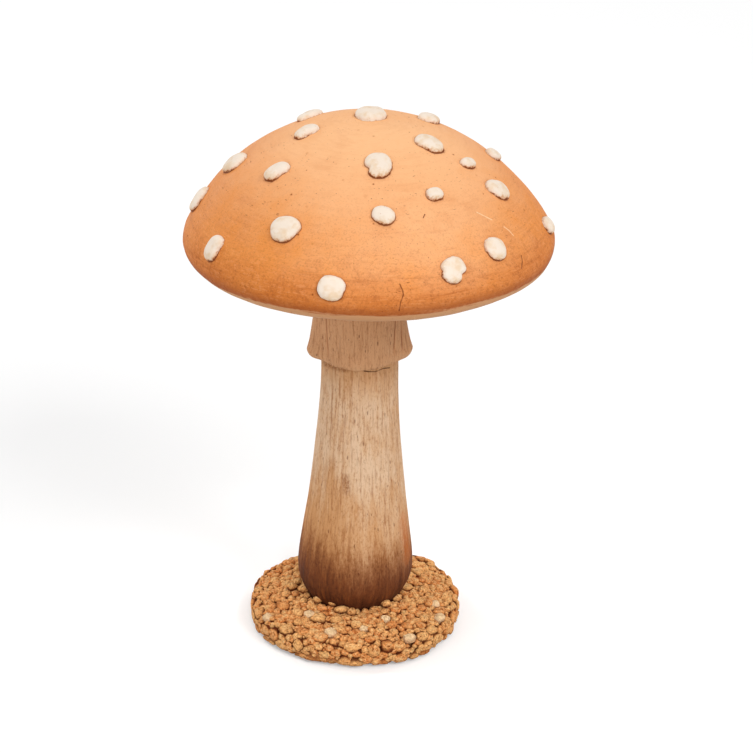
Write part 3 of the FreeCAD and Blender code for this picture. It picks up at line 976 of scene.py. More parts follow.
@dataclass
class Cap:
    """The cap's shell, its underside and its warts."""

    viewpoint: Viewpoint
    form: CapForm = field(default_factory=CapForm)
    wall: float = 4.5 * MM
    steps: int = 320
    dome_steps: int = 76
    rim_steps: int = 26
    inside_stride: int = 4
    sweep_steps: int = 24
    relief_depth: float = 0.22 * MM
    wart_radius: float = 5.8 * MM
    wart_height: float = 2.6 * MM
    wart_sink: float = 0.5 * MM
    stain_width: float = 1.3 * MM
    stain_lift: float = 0.07 * MM
    wart_steps: int = 56
    wart_apart: float = 20 * MM
    wart_round: Pair = (0.70, 0.80)
    wart_wobbles: tuple[Pair, ...] = ((0.05, 1.1), (0.025, 2.7))
    wart_humps: tuple[Pair, ...] = ((0.10, 4.5 * MM), (0.03, 1.7 * MM))
    sole_radius: float = 51.55 * MM
    sole_height: float = 172.19 * MM
    sweep_radius: float = 46.3 * MM
    plate_wall: float = 4.0 * MM
    socket_x: float = 2.8 * MM
    socket_bore: float = 17.15 * MM
    socket_wall: float = 4.5 * MM
    socket_top: float = 190.19 * MM
    vent_radius: float = 7.0 * MM
    sole_drum: float = 50 * MM
    sole_swell: float = 0.25 * MM
    sole_swell_length: float = 14 * MM
    sole_swell_reach: Pair = (26 * MM, 40 * MM)
    sole_shift_reach: Pair = (46 * MM, 24 * MM)
    lip_start: float = 40 * MM
    coat: CapPaint = field(default_factory=CapPaint)
    slip: WartSlip = field(default_factory=WartSlip)
    crack_pixels: tuple[tuple[Pixel, ...], ...] = (
        ((399.7, 284.0), (402.6, 290.0), (403.3, 294.5), (400.6, 302.0), (399.2, 310.4)),
        ((521.5, 254.0), (522.6, 260.0), (521.8, 267.0)),
        ((424.5, 213.5), (423.0, 216.5)),
    )
    scratch_pixels: tuple[tuple[Pixel, ...], ...] = (
        ((477.5, 210.5), (484.0, 213.8), (492.5, 218.0)),
        ((505.0, 225.0), (510.0, 228.8), (514.0, 233.5)),
    )
    warts: tuple[Wart, ...] = (
        Wart(84, 87.5, 100, 1.40, 1.14, ((30, 0.10, 30),), 1.2),
        Wart(145.5, 69.5, 0, 1.28, 0.68, ((40, 0.15, 30),)),
        Wart(-163.5, 72, -67, 1.00, 0.66, ((70, 0.30, 32),)),
        Wart(29.5, 71, -44, 1.28, 0.80, ((190, 0.12, 25),), 1.1),
        Wart(-36, 70, 96, 1.09, 0.90, ((104, 0.10, 30),)),
        Wart(8, 53, -34, 1.01, 0.60),
        Wart(-27, 59, -26, 0.66, 0.45),
        Wart(-141, 57, 63, 0.98, 0.74, ((286, 0.24, 34),)),
        Wart(-177.5, 50.5, 29, 1.27, 0.95, ((344, 0.10, 30),)),
        Wart(-179, 36, 19, 1.10, 1.06, ((358, 0.12, 26),)),
        Wart(-60, 53.5, -3, 0.64, 0.50),
        Wart(-84.5, 48.5, -23, 0.82, 0.68, ((244, 0.07, 30),)),
        Wart(-25, 48.5, -31, 1.12, 0.82, ((220, 0.22, 34),)),
        Wart(-120.5, 42, 8, 1.14, 0.97, ((328, 0.20, 30), (204, 0.06, 24))),
        Wart(-146, 31, 76, 0.99, 0.75, ((276, 0.18, 30), (296, 0.08, 14))),
        Wart(-101, 28.5, -6, 0.98, 0.87, ((350, 0.07, 16), (162, 0.06, 18))),
        Wart(-45.5, 34.5, 157, 0.90, 0.87, ((50, 0.16, 34),)),
        Wart(-7, 30.5, -14, 0.95, 0.66),
        Wart(80, 57, 20, 0.75, 0.60),
        Wart(112, 51, -25, 1.05, 0.85, ((120, 0.12, 30),)),
        Wart(58, 50, 10, 1.10, 0.80, ((260, 0.18, 30),)),
        Wart(123, 38.5, -30, 1.12, 0.90),
        Wart(68, 37, 5, 1.08, 0.88, ((70, 0.14, 30),)),
        Wart(142, 37, 40, 0.72, 0.58),
        Wart(40, 36, 75, 0.95, 0.80, ((200, 0.12, 26),)),
        Wart(104, 29, -8, 0.90, 0.78),
        Wart(130, 25, 60, 1.00, 0.85, ((300, 0.16, 30),)),
        Wart(54, 26, -20, 1.02, 0.85),
        Wart(31, 25, -65, 0.85, 0.70),
        Wart(-85, 65, 80, 1.24, 0.98, ((124, 0.38, 28), (300, 0.04, 30))),
        Wart(-63.3, 31.8, 15, 0.98, 0.92, ((308, 0.34, 22), (160, 0.16, 16))),
        Wart(92, 42, 60, 1.10, 0.85, ((95, 0.30, 24),)),
    )

    def build(self) -> None:
        """Makes and dresses the cap."""
        self._make_shell()
        self._make_underside()
        self._make_warts()

    def _painted(self, recipe: Recipe) -> tuple[Signal, Signal, Signal]:
        """Mixes the cap's paint, with its cracks and scratches where the photograph shows them.

        Args:
            recipe: The material that it goes into.

        Returns:
            Its colour, roughness and relief.
        """
        cracks, scratches = (
            [[self._seen(pixel) for pixel in line] for line in lines]
            for lines in (self.crack_pixels, self.scratch_pixels)
        )
        return self.coat.mix(recipe, self.form, cracks, scratches)

    def _seen(self, pixel: Pixel) -> Vector:
        """Finds the place on the cap behind a pixel."""
        azimuth, tilt, _ = self.form.locate(self.viewpoint.land(pixel, self.form.gap))
        return self.form.at(azimuth, tilt)

    def _make_shell(self) -> None:
        """Makes the hollow shell, open below."""
        form = self.form
        dome = between(RIGHT_ANGLE, form.meet_tilt, self.dome_steps)[:-1]
        tilts = dome + between(form.meet_tilt, form.seam_tilt, self.rim_steps)
        inside = tilts[::-self.inside_stride] + [RIGHT_ANGLE]
        outline = form.outline(tilts, 0.0) + form.outline(inside, -self.wall)
        outline[0] = (0.0, outline[0][1])
        outline[-1] = (0.0, outline[-1][1])
        shell = Bench.turn("cap_dome", outline, self.steps)
        shift = Vector((form.centre_x, 0, 0))
        Bench.mark_around(shell, lambda place: form.lay(place + shift))
        Bench.shape(shell, lambda place: form.at(*form.locate(place + shift)))
        recipe = Recipe("cap_paint")
        finish = recipe.dress(*self._painted(recipe), self.relief_depth, 0.16)
        Bench.hand_over(shell, finish, Slot.CAP, ["cap_shell"])

    def _make_underside(self) -> None:
        """Makes the plate that closes the cap, with its socket."""
        form = self.form
        seam = form.seam_tilt
        (seam_radius, seam_height), = form.outline([seam], 0.0)
        (centre,) = arc((seam_radius, seam_height), -self.sweep_radius, [seam])
        collar = self.socket_bore + self.socket_wall
        collar_top = self.socket_top + self.socket_wall
        plate_top = self.sole_height + self.plate_wall
        outline = arc(centre, self.sweep_radius, between(seam, -RIGHT_ANGLE, self.sweep_steps))
        flat = between(self.sole_radius, self.socket_bore, self.sweep_steps // 2)[1:]
        outline += [(radius, self.sole_height) for radius in flat]
        outline += [(self.socket_bore, self.socket_top), (self.vent_radius, self.socket_top)]
        outline += [(self.vent_radius, collar_top), (collar, collar_top), (collar, plate_top)]
        outline.append(((collar + self.sole_radius) / 2, plate_top))
        outline += arc(centre, self.sweep_radius - self.plate_wall, between(-RIGHT_ANGLE, seam, 10))
        outline.append(outline[0])
        plate = Bench.turn("cap_sole", outline, self.steps)

        def settle(place: Vector) -> Vector:
            """Follows the cap at the seam and the neck at the socket.

            Args:
                place: The vertex, as it was turned.

            Returns:
                Its place on the cap.
            """
            radius, azimuth = round_axis(place)
            place = place + Vector((form.centre_x, 0, 0))
            near = ease(radius, self.lip_start, seam_radius)
            place += (form.at(azimuth, seam) - form.even(azimuth, seam)) * near
            place.x += (self.socket_x - form.centre_x) * ease(radius, *self.sole_shift_reach)
            swell = self.sole_swell * lumps(place, self.sole_swell_length, 5.0)
            place.z += swell * ease(radius, *self.sole_swell_reach)
            return place

        def lay(place: Vector) -> Vector:
            """Gives where a place lies on a drum, its height there being its radius."""
            return Vector((*(place.xy.normalized() * self.sole_drum), place.xy.length))

        Bench.mark_around(plate, lay)
        Bench.shape(plate, settle)
        Bench.hand_over(plate, UndersideSlip().material(), Slot.UNDERSIDE, ["cap_underside"])

    def _make_warts(self) -> None:
        """Makes every wart from one button, whose face is 1 across and 1 high and has a level brim."""
        across, up = self.wart_round
        rounds = between(0.0, RIGHT_ANGLE, 13)[1:-1]
        outline = [(0.0, 1.0), *((math.sin(t) ** across, math.cos(t) ** up) for t in rounds), (1.0, 0.06)]
        outline += [(1.0, 0.0), (1.5, 0.0), (2.0, 0.0), (2.0, -1.0), (1.0, -1.0), (0.0, -1.0)]
        button = Bench.turn("button", outline, self.wart_steps)
        recipe = Recipe("wart_slip")
        slip = self.slip.mix(recipe, self._painted(recipe))
        for number, wart in enumerate(self.warts, start=1):
            piece = Bench.copy(button, "spot_%02d" % number)
            self._press_on(piece, wart, number)
            Bench.hand_over(piece, slip, Slot.WART, ["wart_%02d" % number])
        bpy.data.objects.remove(button)

    def _press_on(self, piece: bpy.types.Object, wart: Wart, number: int) -> None:
        """Shapes a copy of the button to a wart's footprint and lays it on the cap.

        Args:
            piece: The copy, as it was turned.
            wart: The wart's place and sizes.
            number: The wart's number, which its own unevenness comes from.
        """
        form = self.form
        azimuth, tilt, turn = wart.azimuth * DEGREE, wart.tilt * DEGREE, wart.turn * DEGREE
        base = form.even(azimuth, tilt)
        level = Vector((-math.sin(azimuth), math.cos(azimuth), 0))
        normal = form.even(azimuth, tilt, 1.0) - base
        uphill = normal.cross(level)
        long_axis = level * math.cos(turn) + uphill * math.sin(turn)
        short_axis = normal.cross(long_axis)
        tall = self.wart_height * wart.thickness
        downs, low_sides, lays = [], [], []

        def move(place: Vector) -> Vector:
            """Moves one vertex of the button to the wart.

            Args:
                place: The vertex, as it was turned.

            Returns:
                Its place on the cap.
            """
            share, angle = round_axis(place)
            salt = Vector((math.cos(angle), math.sin(angle), number * 3.1))
            wobble = 1 + sum(depth * noise.noise(salt * pace) for depth, pace in self.wart_wobbles)
            reach = wart.reach(angle) * self.wart_radius * wobble
            stain = self.stain_width * (0.75 + 0.6 * noise.noise(salt * 3.0 + Vector((7, 7, 7))))
            away = reach * min(share, 1.0) + stain * max(share - 1.0, 0.0)
            u, v = away * math.cos(angle), away * math.sin(angle)
            flat = Vector((u, v, number * self.wart_apart))
            on_brim = share > 1.001
            if place.z < -0.5:
                out = -self.wart_sink
            elif on_brim:
                out = self.stain_lift
            else:
                hump = 1 + sum(depth * lumps(flat, length) for depth, length in self.wart_humps)
                out = self.stain_lift + tall * place.z * hump
            spot_azimuth, spot_tilt, _ = form.locate(base + long_axis * u + short_axis * v)
            downs.append(share if on_brim else 1 - place.z)
            low_sides.append(-math.sin(angle + turn) * min(share * 1.5, 1.0))
            lays.append(form.on_drum(spot_azimuth, spot_tilt))
            return form.at(spot_azimuth, spot_tilt, out)

        Bench.shape(piece, move)
        for name, values in (("down", downs), ("low_side", low_sides), ("around", lays)):
            Bench.mark(piece, name, values)


@dataclass(frozen=True)
class UndersideSlip:
    """Pale beige slip, wiped round with a brush."""

    beige: Colour = paint(214, 166, 122)
    tan: Colour = paint(190, 138, 96)
    brown: Colour = paint(140, 88, 52)
    wiped: Cloud = Cloud(24 * MM, 4.0, 0.6, (1, 1, 8))
    mottle: Cloud = Cloud(6 * MM, 4.0, 0.6)
    pits: Specks = Specks(4.2 * MM, 0.3 * MM, 0.16)
    neck_reach: Pair = (26 * MM, 17 * MM)
    relief_depth: float = 0.2 * MM

    def material(self) -> bpy.types.Material:
        """Makes the finish.

        Returns:
            The finished material.
        """
        recipe = Recipe("underside_slip")
        place = recipe.place()
        around = recipe.marked("around", "Vector")
        wiped, mottle, pits = self.wiped.over(around), self.mottle.over(place), self.pits.over(place)
        colour = recipe.layered(
            self.tan,
            ((wiped * 0.7 + mottle * 0.5 - 0.1).limited(), self.beige),
            (pits * 0.6, self.brown),
            (around.part("Z").eased(*self.neck_reach) * 0.45, self.brown),
        )
        relief = 0.5 + wiped.sway(0.7) + mottle.sway(0.3) - pits * 0.6
        return recipe.dress(colour, 0.62 + mottle * 0.15, relief, self.relief_depth, 0.35)


@dataclass(frozen=True)
class StemForm:
    """The stem's skin: it swells to a bulb at the foot and leans a little.

    Its stations are pairs of height and radius in millimetres.
    """

    foot_height: float = 7.0 * MM
    neck_height: float = 125.0 * MM
    top_height: float = 190.04 * MM
    lean: float = 2.8 * MM
    carve: float = 0.16 * MM
    swell: float = 0.35 * MM
    swell_length: float = 38 * MM
    foot_free: float = 8 * MM
    neck_held: Pair = (-24 * MM, -32 * MM)
    stations: tuple[Pair, ...] = (
        (7.0, 19.4), (12.3, 20.5), (17.0, 22.6), (21.0, 24.6), (25.5, 25.8), (30.0, 26.0), (36.5, 25.5),
        (51.0, 23.6), (66.0, 21.6), (81.0, 19.8), (96.0, 18.35), (111.0, 17.35), (125.0, 17.0), (190.1, 17.0),
    )

    def radius(self, height: float) -> float:
        """Gives the even radius at a height."""
        return curve_through(self.stations, height / MM) * MM

    def centre(self, height: float) -> float:
        """Gives how far the stem has leaned at a height."""
        share = (height - self.foot_height) / (self.neck_height - self.foot_height)
        return self.lean * min(max(share, 0.0), 1.0)

    @staticmethod
    def grain(ring: Vector, height: float) -> Vector:
        """Gives where a place lies in the upright grain."""
        return Vector((ring.x * 20, ring.y * 20, height / MM * 0.07))

    def at(self, azimuth: float, height: float) -> Vector:
        """Gives a place on the skin, carved but held even at the foot and in the socket.

        Args:
            azimuth: The place's azimuth.
            height: Its height.

        Returns:
            The place.
        """
        ring = ring_way(azimuth)
        grain = self.grain(ring, height)
        start, stop = self.neck_held
        free = ease(height, self.foot_height, self.foot_height + self.foot_free)
        free *= ease(height, self.top_height + start, self.top_height + stop)
        carved = self.carve * (noise.noise(grain * 0.55) + 0.6 * noise.noise(grain * 1.3))
        swollen = self.swell * noise.noise(Vector((ring.x * 1.6, ring.y * 1.6, height / self.swell_length)))
        radius = self.radius(height) + (carved + swollen) * free
        return Vector((self.centre(height) + ring.x * radius, ring.y * radius, height))

    def gap(self, place: Vector) -> float:
        """Gives how far a point is, at least, from the skin."""
        away = math.hypot(place.x - self.centre(place.z), place.y) - self.radius(place.z)
        return away * 0.9


@dataclass(frozen=True)
class StemMarks:
    """Marks on the stem and its skirt, each a run of points."""

    # The joint line under the skirt's lip, painted dark: partly a dark joint, partly painted shade in the gap
    # under the lip.
    cracks: list[list[Vector]]
    streaks: list[list[Vector]]
    stains: list[list[Vector]]


@dataclass(frozen=True)
class StemStain:
    """Beige slip with a fine upright grain, browned towards the foot. It is painted lighter on the key
    light's side as a painted highlight, and on the upper left as painted fill light.

    Its levels are pairs of heights, and its reaches pairs of distances from an upright line: where a
    coat starts to show, and where it shows in full.
    """

    name: str
    light: Colour = paint(215, 183, 151)
    beige: Colour = paint(204, 165, 128)
    tan: Colour = paint(192, 140, 92)
    brown: Colour = paint(132, 74, 32)
    dark: Colour = paint(100, 48, 20)
    foot: Colour = paint(60, 28, 14)
    orange: Colour = paint(182, 98, 40)
    warmth: float = 0.0
    relief_depth: float = 0.28 * MM
    grain_drag: float = 24 * MM
    broad_drag: float = 16 * MM
    sandy_drag: float = 14 * MM
    top_drag: float = 30 * MM
    streak_share: float = 0.4
    stain_width: float = 2.6 * MM
    crack_width: float = 0.34 * MM
    front: float = -85 * DEGREE
    front_reach: Pair = (20 * MM, 2 * MM)
    front_drop: float = 2 * MM
    # The side where the key light falls, painted lighter as a painted highlight, and how far that reaches.
    lit_side: float = -48 * DEGREE
    pale_reach: Pair = (26 * MM, 2 * MM)
    dark_side: float = -160 * DEGREE
    dark_reach: Pair = (26 * MM, 4 * MM)
    # How far the painted fill light on the upper left reaches.
    left_fill_reach: Pair = (34 * MM, 6 * MM)
    left_tan_reach: Pair = (32 * MM, 8 * MM)
    left_rise: float = 3 * MM
    # Heights from which the painted fill light on the left shows.
    left_fill_levels: Pair = (64 * MM, 96 * MM)
    top_levels: Pair = (112 * MM, 136 * MM)
    tan_levels: Pair = (82 * MM, 48 * MM)
    left_tan_levels: Pair = (100 * MM, 60 * MM)
    brown_levels: Pair = (55 * MM, 37 * MM)
    dark_levels: Pair = (45 * MM, 28 * MM)
    foot_levels: Pair = (33 * MM, 14 * MM)
    fibre_levels: Pair = (46 * MM, 30 * MM)
    line_levels: Pair = (44 * MM, 32 * MM)
    pale_line_levels: Pair = (40 * MM, 60 * MM)
    broad: Cloud = Cloud(6 * MM, 3.0, 0.6, (1, 1, 0.14))
    grain: Cloud = Cloud(1.6 * MM, 4.0, 0.7, (1, 1, 0.1))
    fine: Cloud = Cloud(0.8 * MM, 3.0, 0.7, (1, 1, 0.16))
    hairs: Cloud = Cloud(1.0 * MM, 2.0, 0.6, (1, 1, 0.06))
    patches: Cloud = Cloud(15 * MM, 3.0, 0.55, (1, 1, 0.6))
    sandy: Cloud = Cloud(0.9 * MM, 3.0, 0.7, (1, 1, 0.55))
    pores: Specks = Specks(1.5 * MM, 0.36 * MM, 0.36, (1, 1, 0.28))
    dots: Specks = Specks(1.5 * MM, 0.26 * MM, 0.2)

    def material(self, marks: StemMarks) -> bpy.types.Material:
        """Makes the finish.

        Args:
            marks: Where the joint line under the skirt, the streaks and the stains run.

        Returns:
            The finished material.
        """
        recipe = Recipe(self.name)
        place = recipe.place()
        around = recipe.marked("around", "Vector")
        height = around.part("Z")
        broad, grain, fine, hairs = (
            cloud.over(around) for cloud in (self.broad, self.grain, self.fine, self.hairs)
        )
        patches, sandy = self.patches.over(place), self.sandy.over(place)
        at_front, at_lit_side, at_left = (
            self._near(around, azimuth) for azimuth in (self.front, self.lit_side, self.dark_side)
        )
        tone = 0.6 + broad.sway(0.8) + grain.sway(0.9) + patches.sway(1.3) + sandy.sway(0.6)
        # Painted highlight on the key light's side, and painted fill light on the upper left.
        tone = tone + at_lit_side.eased(*self.pale_reach) * 0.16
        tone = tone + at_left.eased(*self.left_fill_reach) * height.eased(*self.left_fill_levels) * 0.24
        drawn = height + grain.sway(self.grain_drag) + broad.sway(self.broad_drag)
        drawn = drawn + sandy.sway(self.sandy_drag)
        drawn = drawn + at_front.eased(*self.front_reach) * self.front_drop
        drawn = drawn - at_left.eased(*self.dark_reach) * self.left_rise
        left_tan = at_left.eased(*self.left_tan_reach) * drawn.eased(*self.left_tan_levels)
        tanned = (drawn.eased(*self.tan_levels) * 0.64 + left_tan * 0.4).limited()
        fibres = (grain * 0.5 + fine * 0.5).eased(0.52, 0.64) * drawn.eased(*self.fibre_levels)
        lines = (grain.eased(0.46, 0.36) * 0.4 + fine.eased(0.46, 0.36) * 0.5).limited()
        lines = (lines + hairs.eased(0.42, 0.35) * 0.5 + sandy.eased(0.46, 0.36) * 0.45).limited()
        pale_lines = fine.eased(0.56, 0.68) * grain.eased(0.45, 0.6) * drawn.eased(*self.pale_line_levels)
        pits = (self.pores.over(around) + self.dots.over(place) * 0.6).limited()
        colour = recipe.layered(
            self.tan,
            (tone.limited(), self.beige),
            (tone.eased(0.45, 1.05), self.light),
            (self.warmth, self.tan),
            ((height + broad.sway(self.top_drag)).eased(*self.top_levels) * 0.9, self.tan),
            (tanned, self.tan),
            (drawn.eased(*self.brown_levels) * 0.75, self.brown),
            (drawn.eased(*self.dark_levels) * 0.85, self.dark),
            (drawn.eased(*self.foot_levels) * 0.85, self.foot),
            (fibres * 0.45, self.brown),
            (lines * 0.55, recipe.blend(drawn.eased(*self.line_levels), self.brown, self.foot)),
            (pale_lines * 0.22, self.light),
            (pits * 0.6, self.dark),
        )
        relief = 0.5 + grain.sway(1.2) + fine.sway(0.8) + sandy.sway(0.3) - pits * 0.7
        for points in marks.streaks:
            width = (points[0] - points[-1]).length * self.streak_share
            run = recipe.lines(place, [points], width) * 0.75 * (lines * 0.5 + 0.5)
            colour = recipe.blend(run, colour, self.orange)
        worn = recipe.lines(place, marks.stains, self.stain_width) * sandy.eased(0.38, 0.6)
        # The joint line under the skirt's lip is painted near black: partly a dark joint, partly painted
        # shade in the gap under the lip.
        split = recipe.lines(place, marks.cracks, self.crack_width)
        # Each crease gets an orange tint, and a dark line down its middle that is painted shade in the fold.
        groove = recipe.marked("groove") + grain.sway(1.0)
        colour = recipe.layered(
            colour,
            (worn * 0.7, self.brown),
            (split * 0.95, self.foot),
            (groove.eased(0.2, 0.9) * 0.22, self.orange),
            (groove.eased(0.72, 1.0) * 0.55, self.dark),
        )
        relief = relief - worn * 0.5 - split * 0.3
        return recipe.dress(colour, 0.6 + grain * 0.2, relief, self.relief_depth, 0.12)

    @staticmethod
    def _near(around: Signal, azimuth: float) -> Signal:
        """Gives how far a place on the drum is from the upright line at an azimuth."""
        side = ring_way(azimuth) * STEM_DRUM
        return around.recipe.away_from(around.stretched((1, 1, 0)), side, side * 1.01)


@dataclass
class Stem:
    """The hollow stem and the skirt round its neck.

    The skirt's reaches and lifts are pairs of an azimuth in degrees and millimetres, and its creases
    are azimuths in degrees.
    """

    viewpoint: Viewpoint
    form: StemForm = field(default_factory=StemForm)
    steps: int = 360
    wall: float = 4.5 * MM
    plug_bore: float = 15.0 * MM
    plug_top: float = 25.0 * MM
    skirt_gap: float = 0.15 * MM
    skirt_top: float = 166.19 * MM
    skirt_foot: float = 128.5 * MM
    skirt_widest: float = 133.0 * MM
    skirt_reach: float = 6.0 * MM
    skirt_top_reach: float = 2.0 * MM
    reaches: tuple[Pair, ...] = (
        (-188, 6.0), (-180, 6.0), (-172, 5.7), (-165, 4.9), (-155, 2.9), (-148, 1.8), (-140, 1.4), (-90, 1.5),
        (-42, 1.4), (-35, 1.8), (-28, 2.7), (-20, 4.0), (-12, 5.3), (-4, 5.95), (8, 6.05), (28, 5.4),
        (42, 3.4), (52, 1.9), (62, 1.5), (90, 1.6), (118, 1.5), (128, 2.0), (140, 4.0), (152, 5.4),
        (166, 6.0), (180, 6.0),
    )
    lifts: tuple[Pair, ...] = (
        (-180, 2.2), (-150, 3.4), (-115, 2.9), (-90, 2.7), (-60, 3.1), (-35, 3.3), (0, 2.4), (60, 1.0),
        (120, 1.0), (180, 2.2),
    )
    stem_steps: int = 96
    neck_run: float = 10 * MM
    upper_levels: Triple = (150 * MM, 165 * MM, 178 * MM)
    drape_end: float = 135 * MM
    lift_start: float = 140 * MM
    bore_skin: float = 0.1 * MM
    wave_length: float = 16 * MM
    flare_steps: int = 26
    flare_power: float = 1.9
    lip_round: float = 0.5
    lip_foot: float = 1.2 * MM
    least_skirt: float = 0.35 * MM
    skirt_carve: float = 0.12 * MM
    skirt_wave: float = 0.25 * MM
    foot_ripple: float = 0.3 * MM
    crease_depth: float = 0.4 * MM
    crease_spread: float = 2.0
    creases: tuple[float, ...] = (-140, -36, -22, 44, 51, 128)
    streak_pixels: tuple[tuple[Pixel, ...], ...] = (((403.5, 522.0), (406.5, 540.0), (408.0, 554.0)),)
    joint_pixels: tuple[tuple[Pixel, ...], ...] = (
        ((364.0, 371.0), (369.0, 371.7), (375.5, 371.4), (383.0, 368.4), (390.0, 367.8)),
    )
    stain_pixels: tuple[tuple[Pixel, ...], ...] = (
        ((324.0, 362.5), (334.0, 366.0), (345.0, 369.0)), ((345.5, 478.0), (347.0, 491.0)),
    )

    def build(self) -> None:
        """Makes and dresses the stem and its skirt."""
        pixels = (self.joint_pixels, self.streak_pixels, self.stain_pixels)
        marks = StemMarks(*([[self._seen(pixel) for pixel in line] for line in lines] for lines in pixels))
        self._make_stem(marks)
        self._make_skirt(marks)

    def _seen(self, pixel: Pixel) -> Vector:
        """Finds the place on the stem behind a pixel."""
        return self.viewpoint.land(pixel, self.form.gap)

    def _lay(self, place: Vector) -> Vector:
        """Gives where a place lies round the stem, on a drum of one radius."""
        across = Vector((place.x - self.form.centre(place.z), place.y, 0))
        return across.normalized() * STEM_DRUM + UP * place.z

    def _make_stem(self, marks: StemMarks) -> None:
        """Makes the stem.

        Args:
            marks: Its joint line, streaks and stains.
        """
        form = self.form
        levels = between(form.foot_height, form.neck_height + self.neck_run, self.stem_steps)
        levels += [*self.upper_levels, form.top_height]
        outline = [(form.radius(level), level) for level in levels]
        inside = [level for level in levels[::-6] if level > self.plug_top]
        outline += [(form.radius(level) - self.wall, level) for level in inside]
        outline += [(self.plug_bore, self.plug_top), (self.plug_bore, form.foot_height), outline[0]]
        stem = Bench.turn("stem_trunk", outline, self.steps)

        def carve(place: Vector) -> Vector:
            """Moves one vertex to the leaning, carved skin, or leans it where it is inside.

            Args:
                place: The vertex, as it was turned.

            Returns:
                Its place on the stem.
            """
            radius, azimuth = round_axis(place)
            if radius > form.radius(place.z) - self.wall / 2:
                return form.at(azimuth, place.z)
            return place + Vector((form.centre(place.z), 0, 0))

        Bench.shape(stem, carve)
        Bench.mark_around(stem, self._lay)
        Bench.hand_over(stem, StemStain("stem_stain").material(marks), Slot.STEM, ["stem"])

    def _groove(self, azimuth: float) -> float:
        """Gives 1 in the middle of a crease and 0 away from it, at an azimuth in degrees."""
        offs = ((azimuth - crease + 180) % 360 - 180 for crease in self.creases)
        return max(math.exp(-((off / self.crease_spread) ** 2)) for off in offs)

    def _skirt_outline(self, bore: float) -> list[Pair]:
        """Draws the even ring that the skirt is shaped from.

        Args:
            bore: The radius of its bore.

        Returns:
            Pairs of radius and height, from its top edge round by its lip and back up its bore.
        """
        rise, lip = self.skirt_top - self.skirt_widest, self.skirt_widest - self.skirt_foot
        top, widest = bore + self.skirt_top_reach, bore + self.skirt_reach
        outline = [
            (top + (widest - top) * share**self.flare_power, self.skirt_top - rise * share)
            for share in between(0.0, 1.0, self.flare_steps)
        ]
        tuck = self.lip_round * self.skirt_reach
        outline += [
            (widest - tuck * (1 - math.cos(turn)), self.skirt_widest - lip * math.sin(turn))
            for turn in between(0.0, RIGHT_ANGLE, 10)[1:]
        ]
        outline.append((bore + self.lip_foot, self.skirt_foot))
        outline += [(bore, height) for height in between(self.skirt_foot, self.skirt_top, 4)]
        return outline + outline[:1]

    def _make_skirt(self, marks: StemMarks) -> None:
        """Makes the skirt, with its lobes, its flush front and the creases between them.

        Args:
            marks: The joint line, streaks and stains that the stem shares with it.
        """
        form = self.form
        bore = form.radius(self.skirt_widest) + self.skirt_gap
        skirt = Bench.turn("stem_ring", self._skirt_outline(bore), self.steps)
        grooves = []

        def drape(place: Vector) -> Vector:
            """Moves one vertex into its fold.

            Args:
                place: The vertex, as it was turned.

            Returns:
                Its place on the skirt.
            """
            radius, azimuth = round_axis(place)
            degrees = azimuth / DEGREE
            ring = ring_way(azimuth)
            low = ease(place.z, self.skirt_top, self.drape_end)
            near_foot = ease(place.z, self.lift_start, self.skirt_foot)
            out = radius - bore
            groove = 0.0
            if out > self.bore_skin:
                kept = curve_through(self.reaches, degrees) * MM / self.skirt_reach
                wave = noise.noise(Vector((ring.x * 3, ring.y * 3, place.z / self.wave_length)))
                carved = self.skirt_carve * noise.noise(form.grain(ring, place.z) * 0.7)
                groove = self._groove(degrees + 1.5 * wave) * ease(place.z, self.skirt_foot, self.lift_start)
                out = out * (1 + (kept - 1) * low) + carved + self.skirt_wave * wave * low
                out = max(out - self.crease_depth * groove * low, self.least_skirt)
            grooves.append(groove)
            lift = curve_through(self.lifts, degrees) * MM
            ripple = self.foot_ripple * noise.noise(Vector((ring.x, ring.y, 0.4)) * 3.4)
            return Vector((form.lean, 0, place.z + (lift + ripple) * near_foot)) + ring * (bore + out)

        Bench.shape(skirt, drape)
        # Marks each crease for its orange tint and its painted shade.
        Bench.mark(skirt, "groove", grooves)
        Bench.mark_around(skirt, self._lay)
        stain = StemStain("skirt_stain", warmth=0.25, tan=paint(203, 151, 108))
        Bench.hand_over(skirt, stain.material(marks), Slot.SKIRT, ["stem_skirt"])


@dataclass(frozen=True)
class Mortar:
    """Brown sandy mortar, seen only in the gaps between the crumbs."""

    sand: Colour = paint(214, 146, 88)
    dark: Colour = paint(138, 80, 42)
    grain: Cloud = Cloud(2.2 * MM, 5.0, 0.7)
    relief_depth: float = 0.6 * MM

    def material(self) -> bpy.types.Material:
        """Makes the finish.

        Returns:
            The finished material.
        """
        recipe = Recipe("sandy_mortar")
        grain = self.grain.over(recipe.place())
        colour = recipe.blend(grain.eased(0.35, 0.7), self.dark, self.sand)
        return recipe.dress(colour, 0.85 + grain * 0.1, grain, self.relief_depth, 0.2)


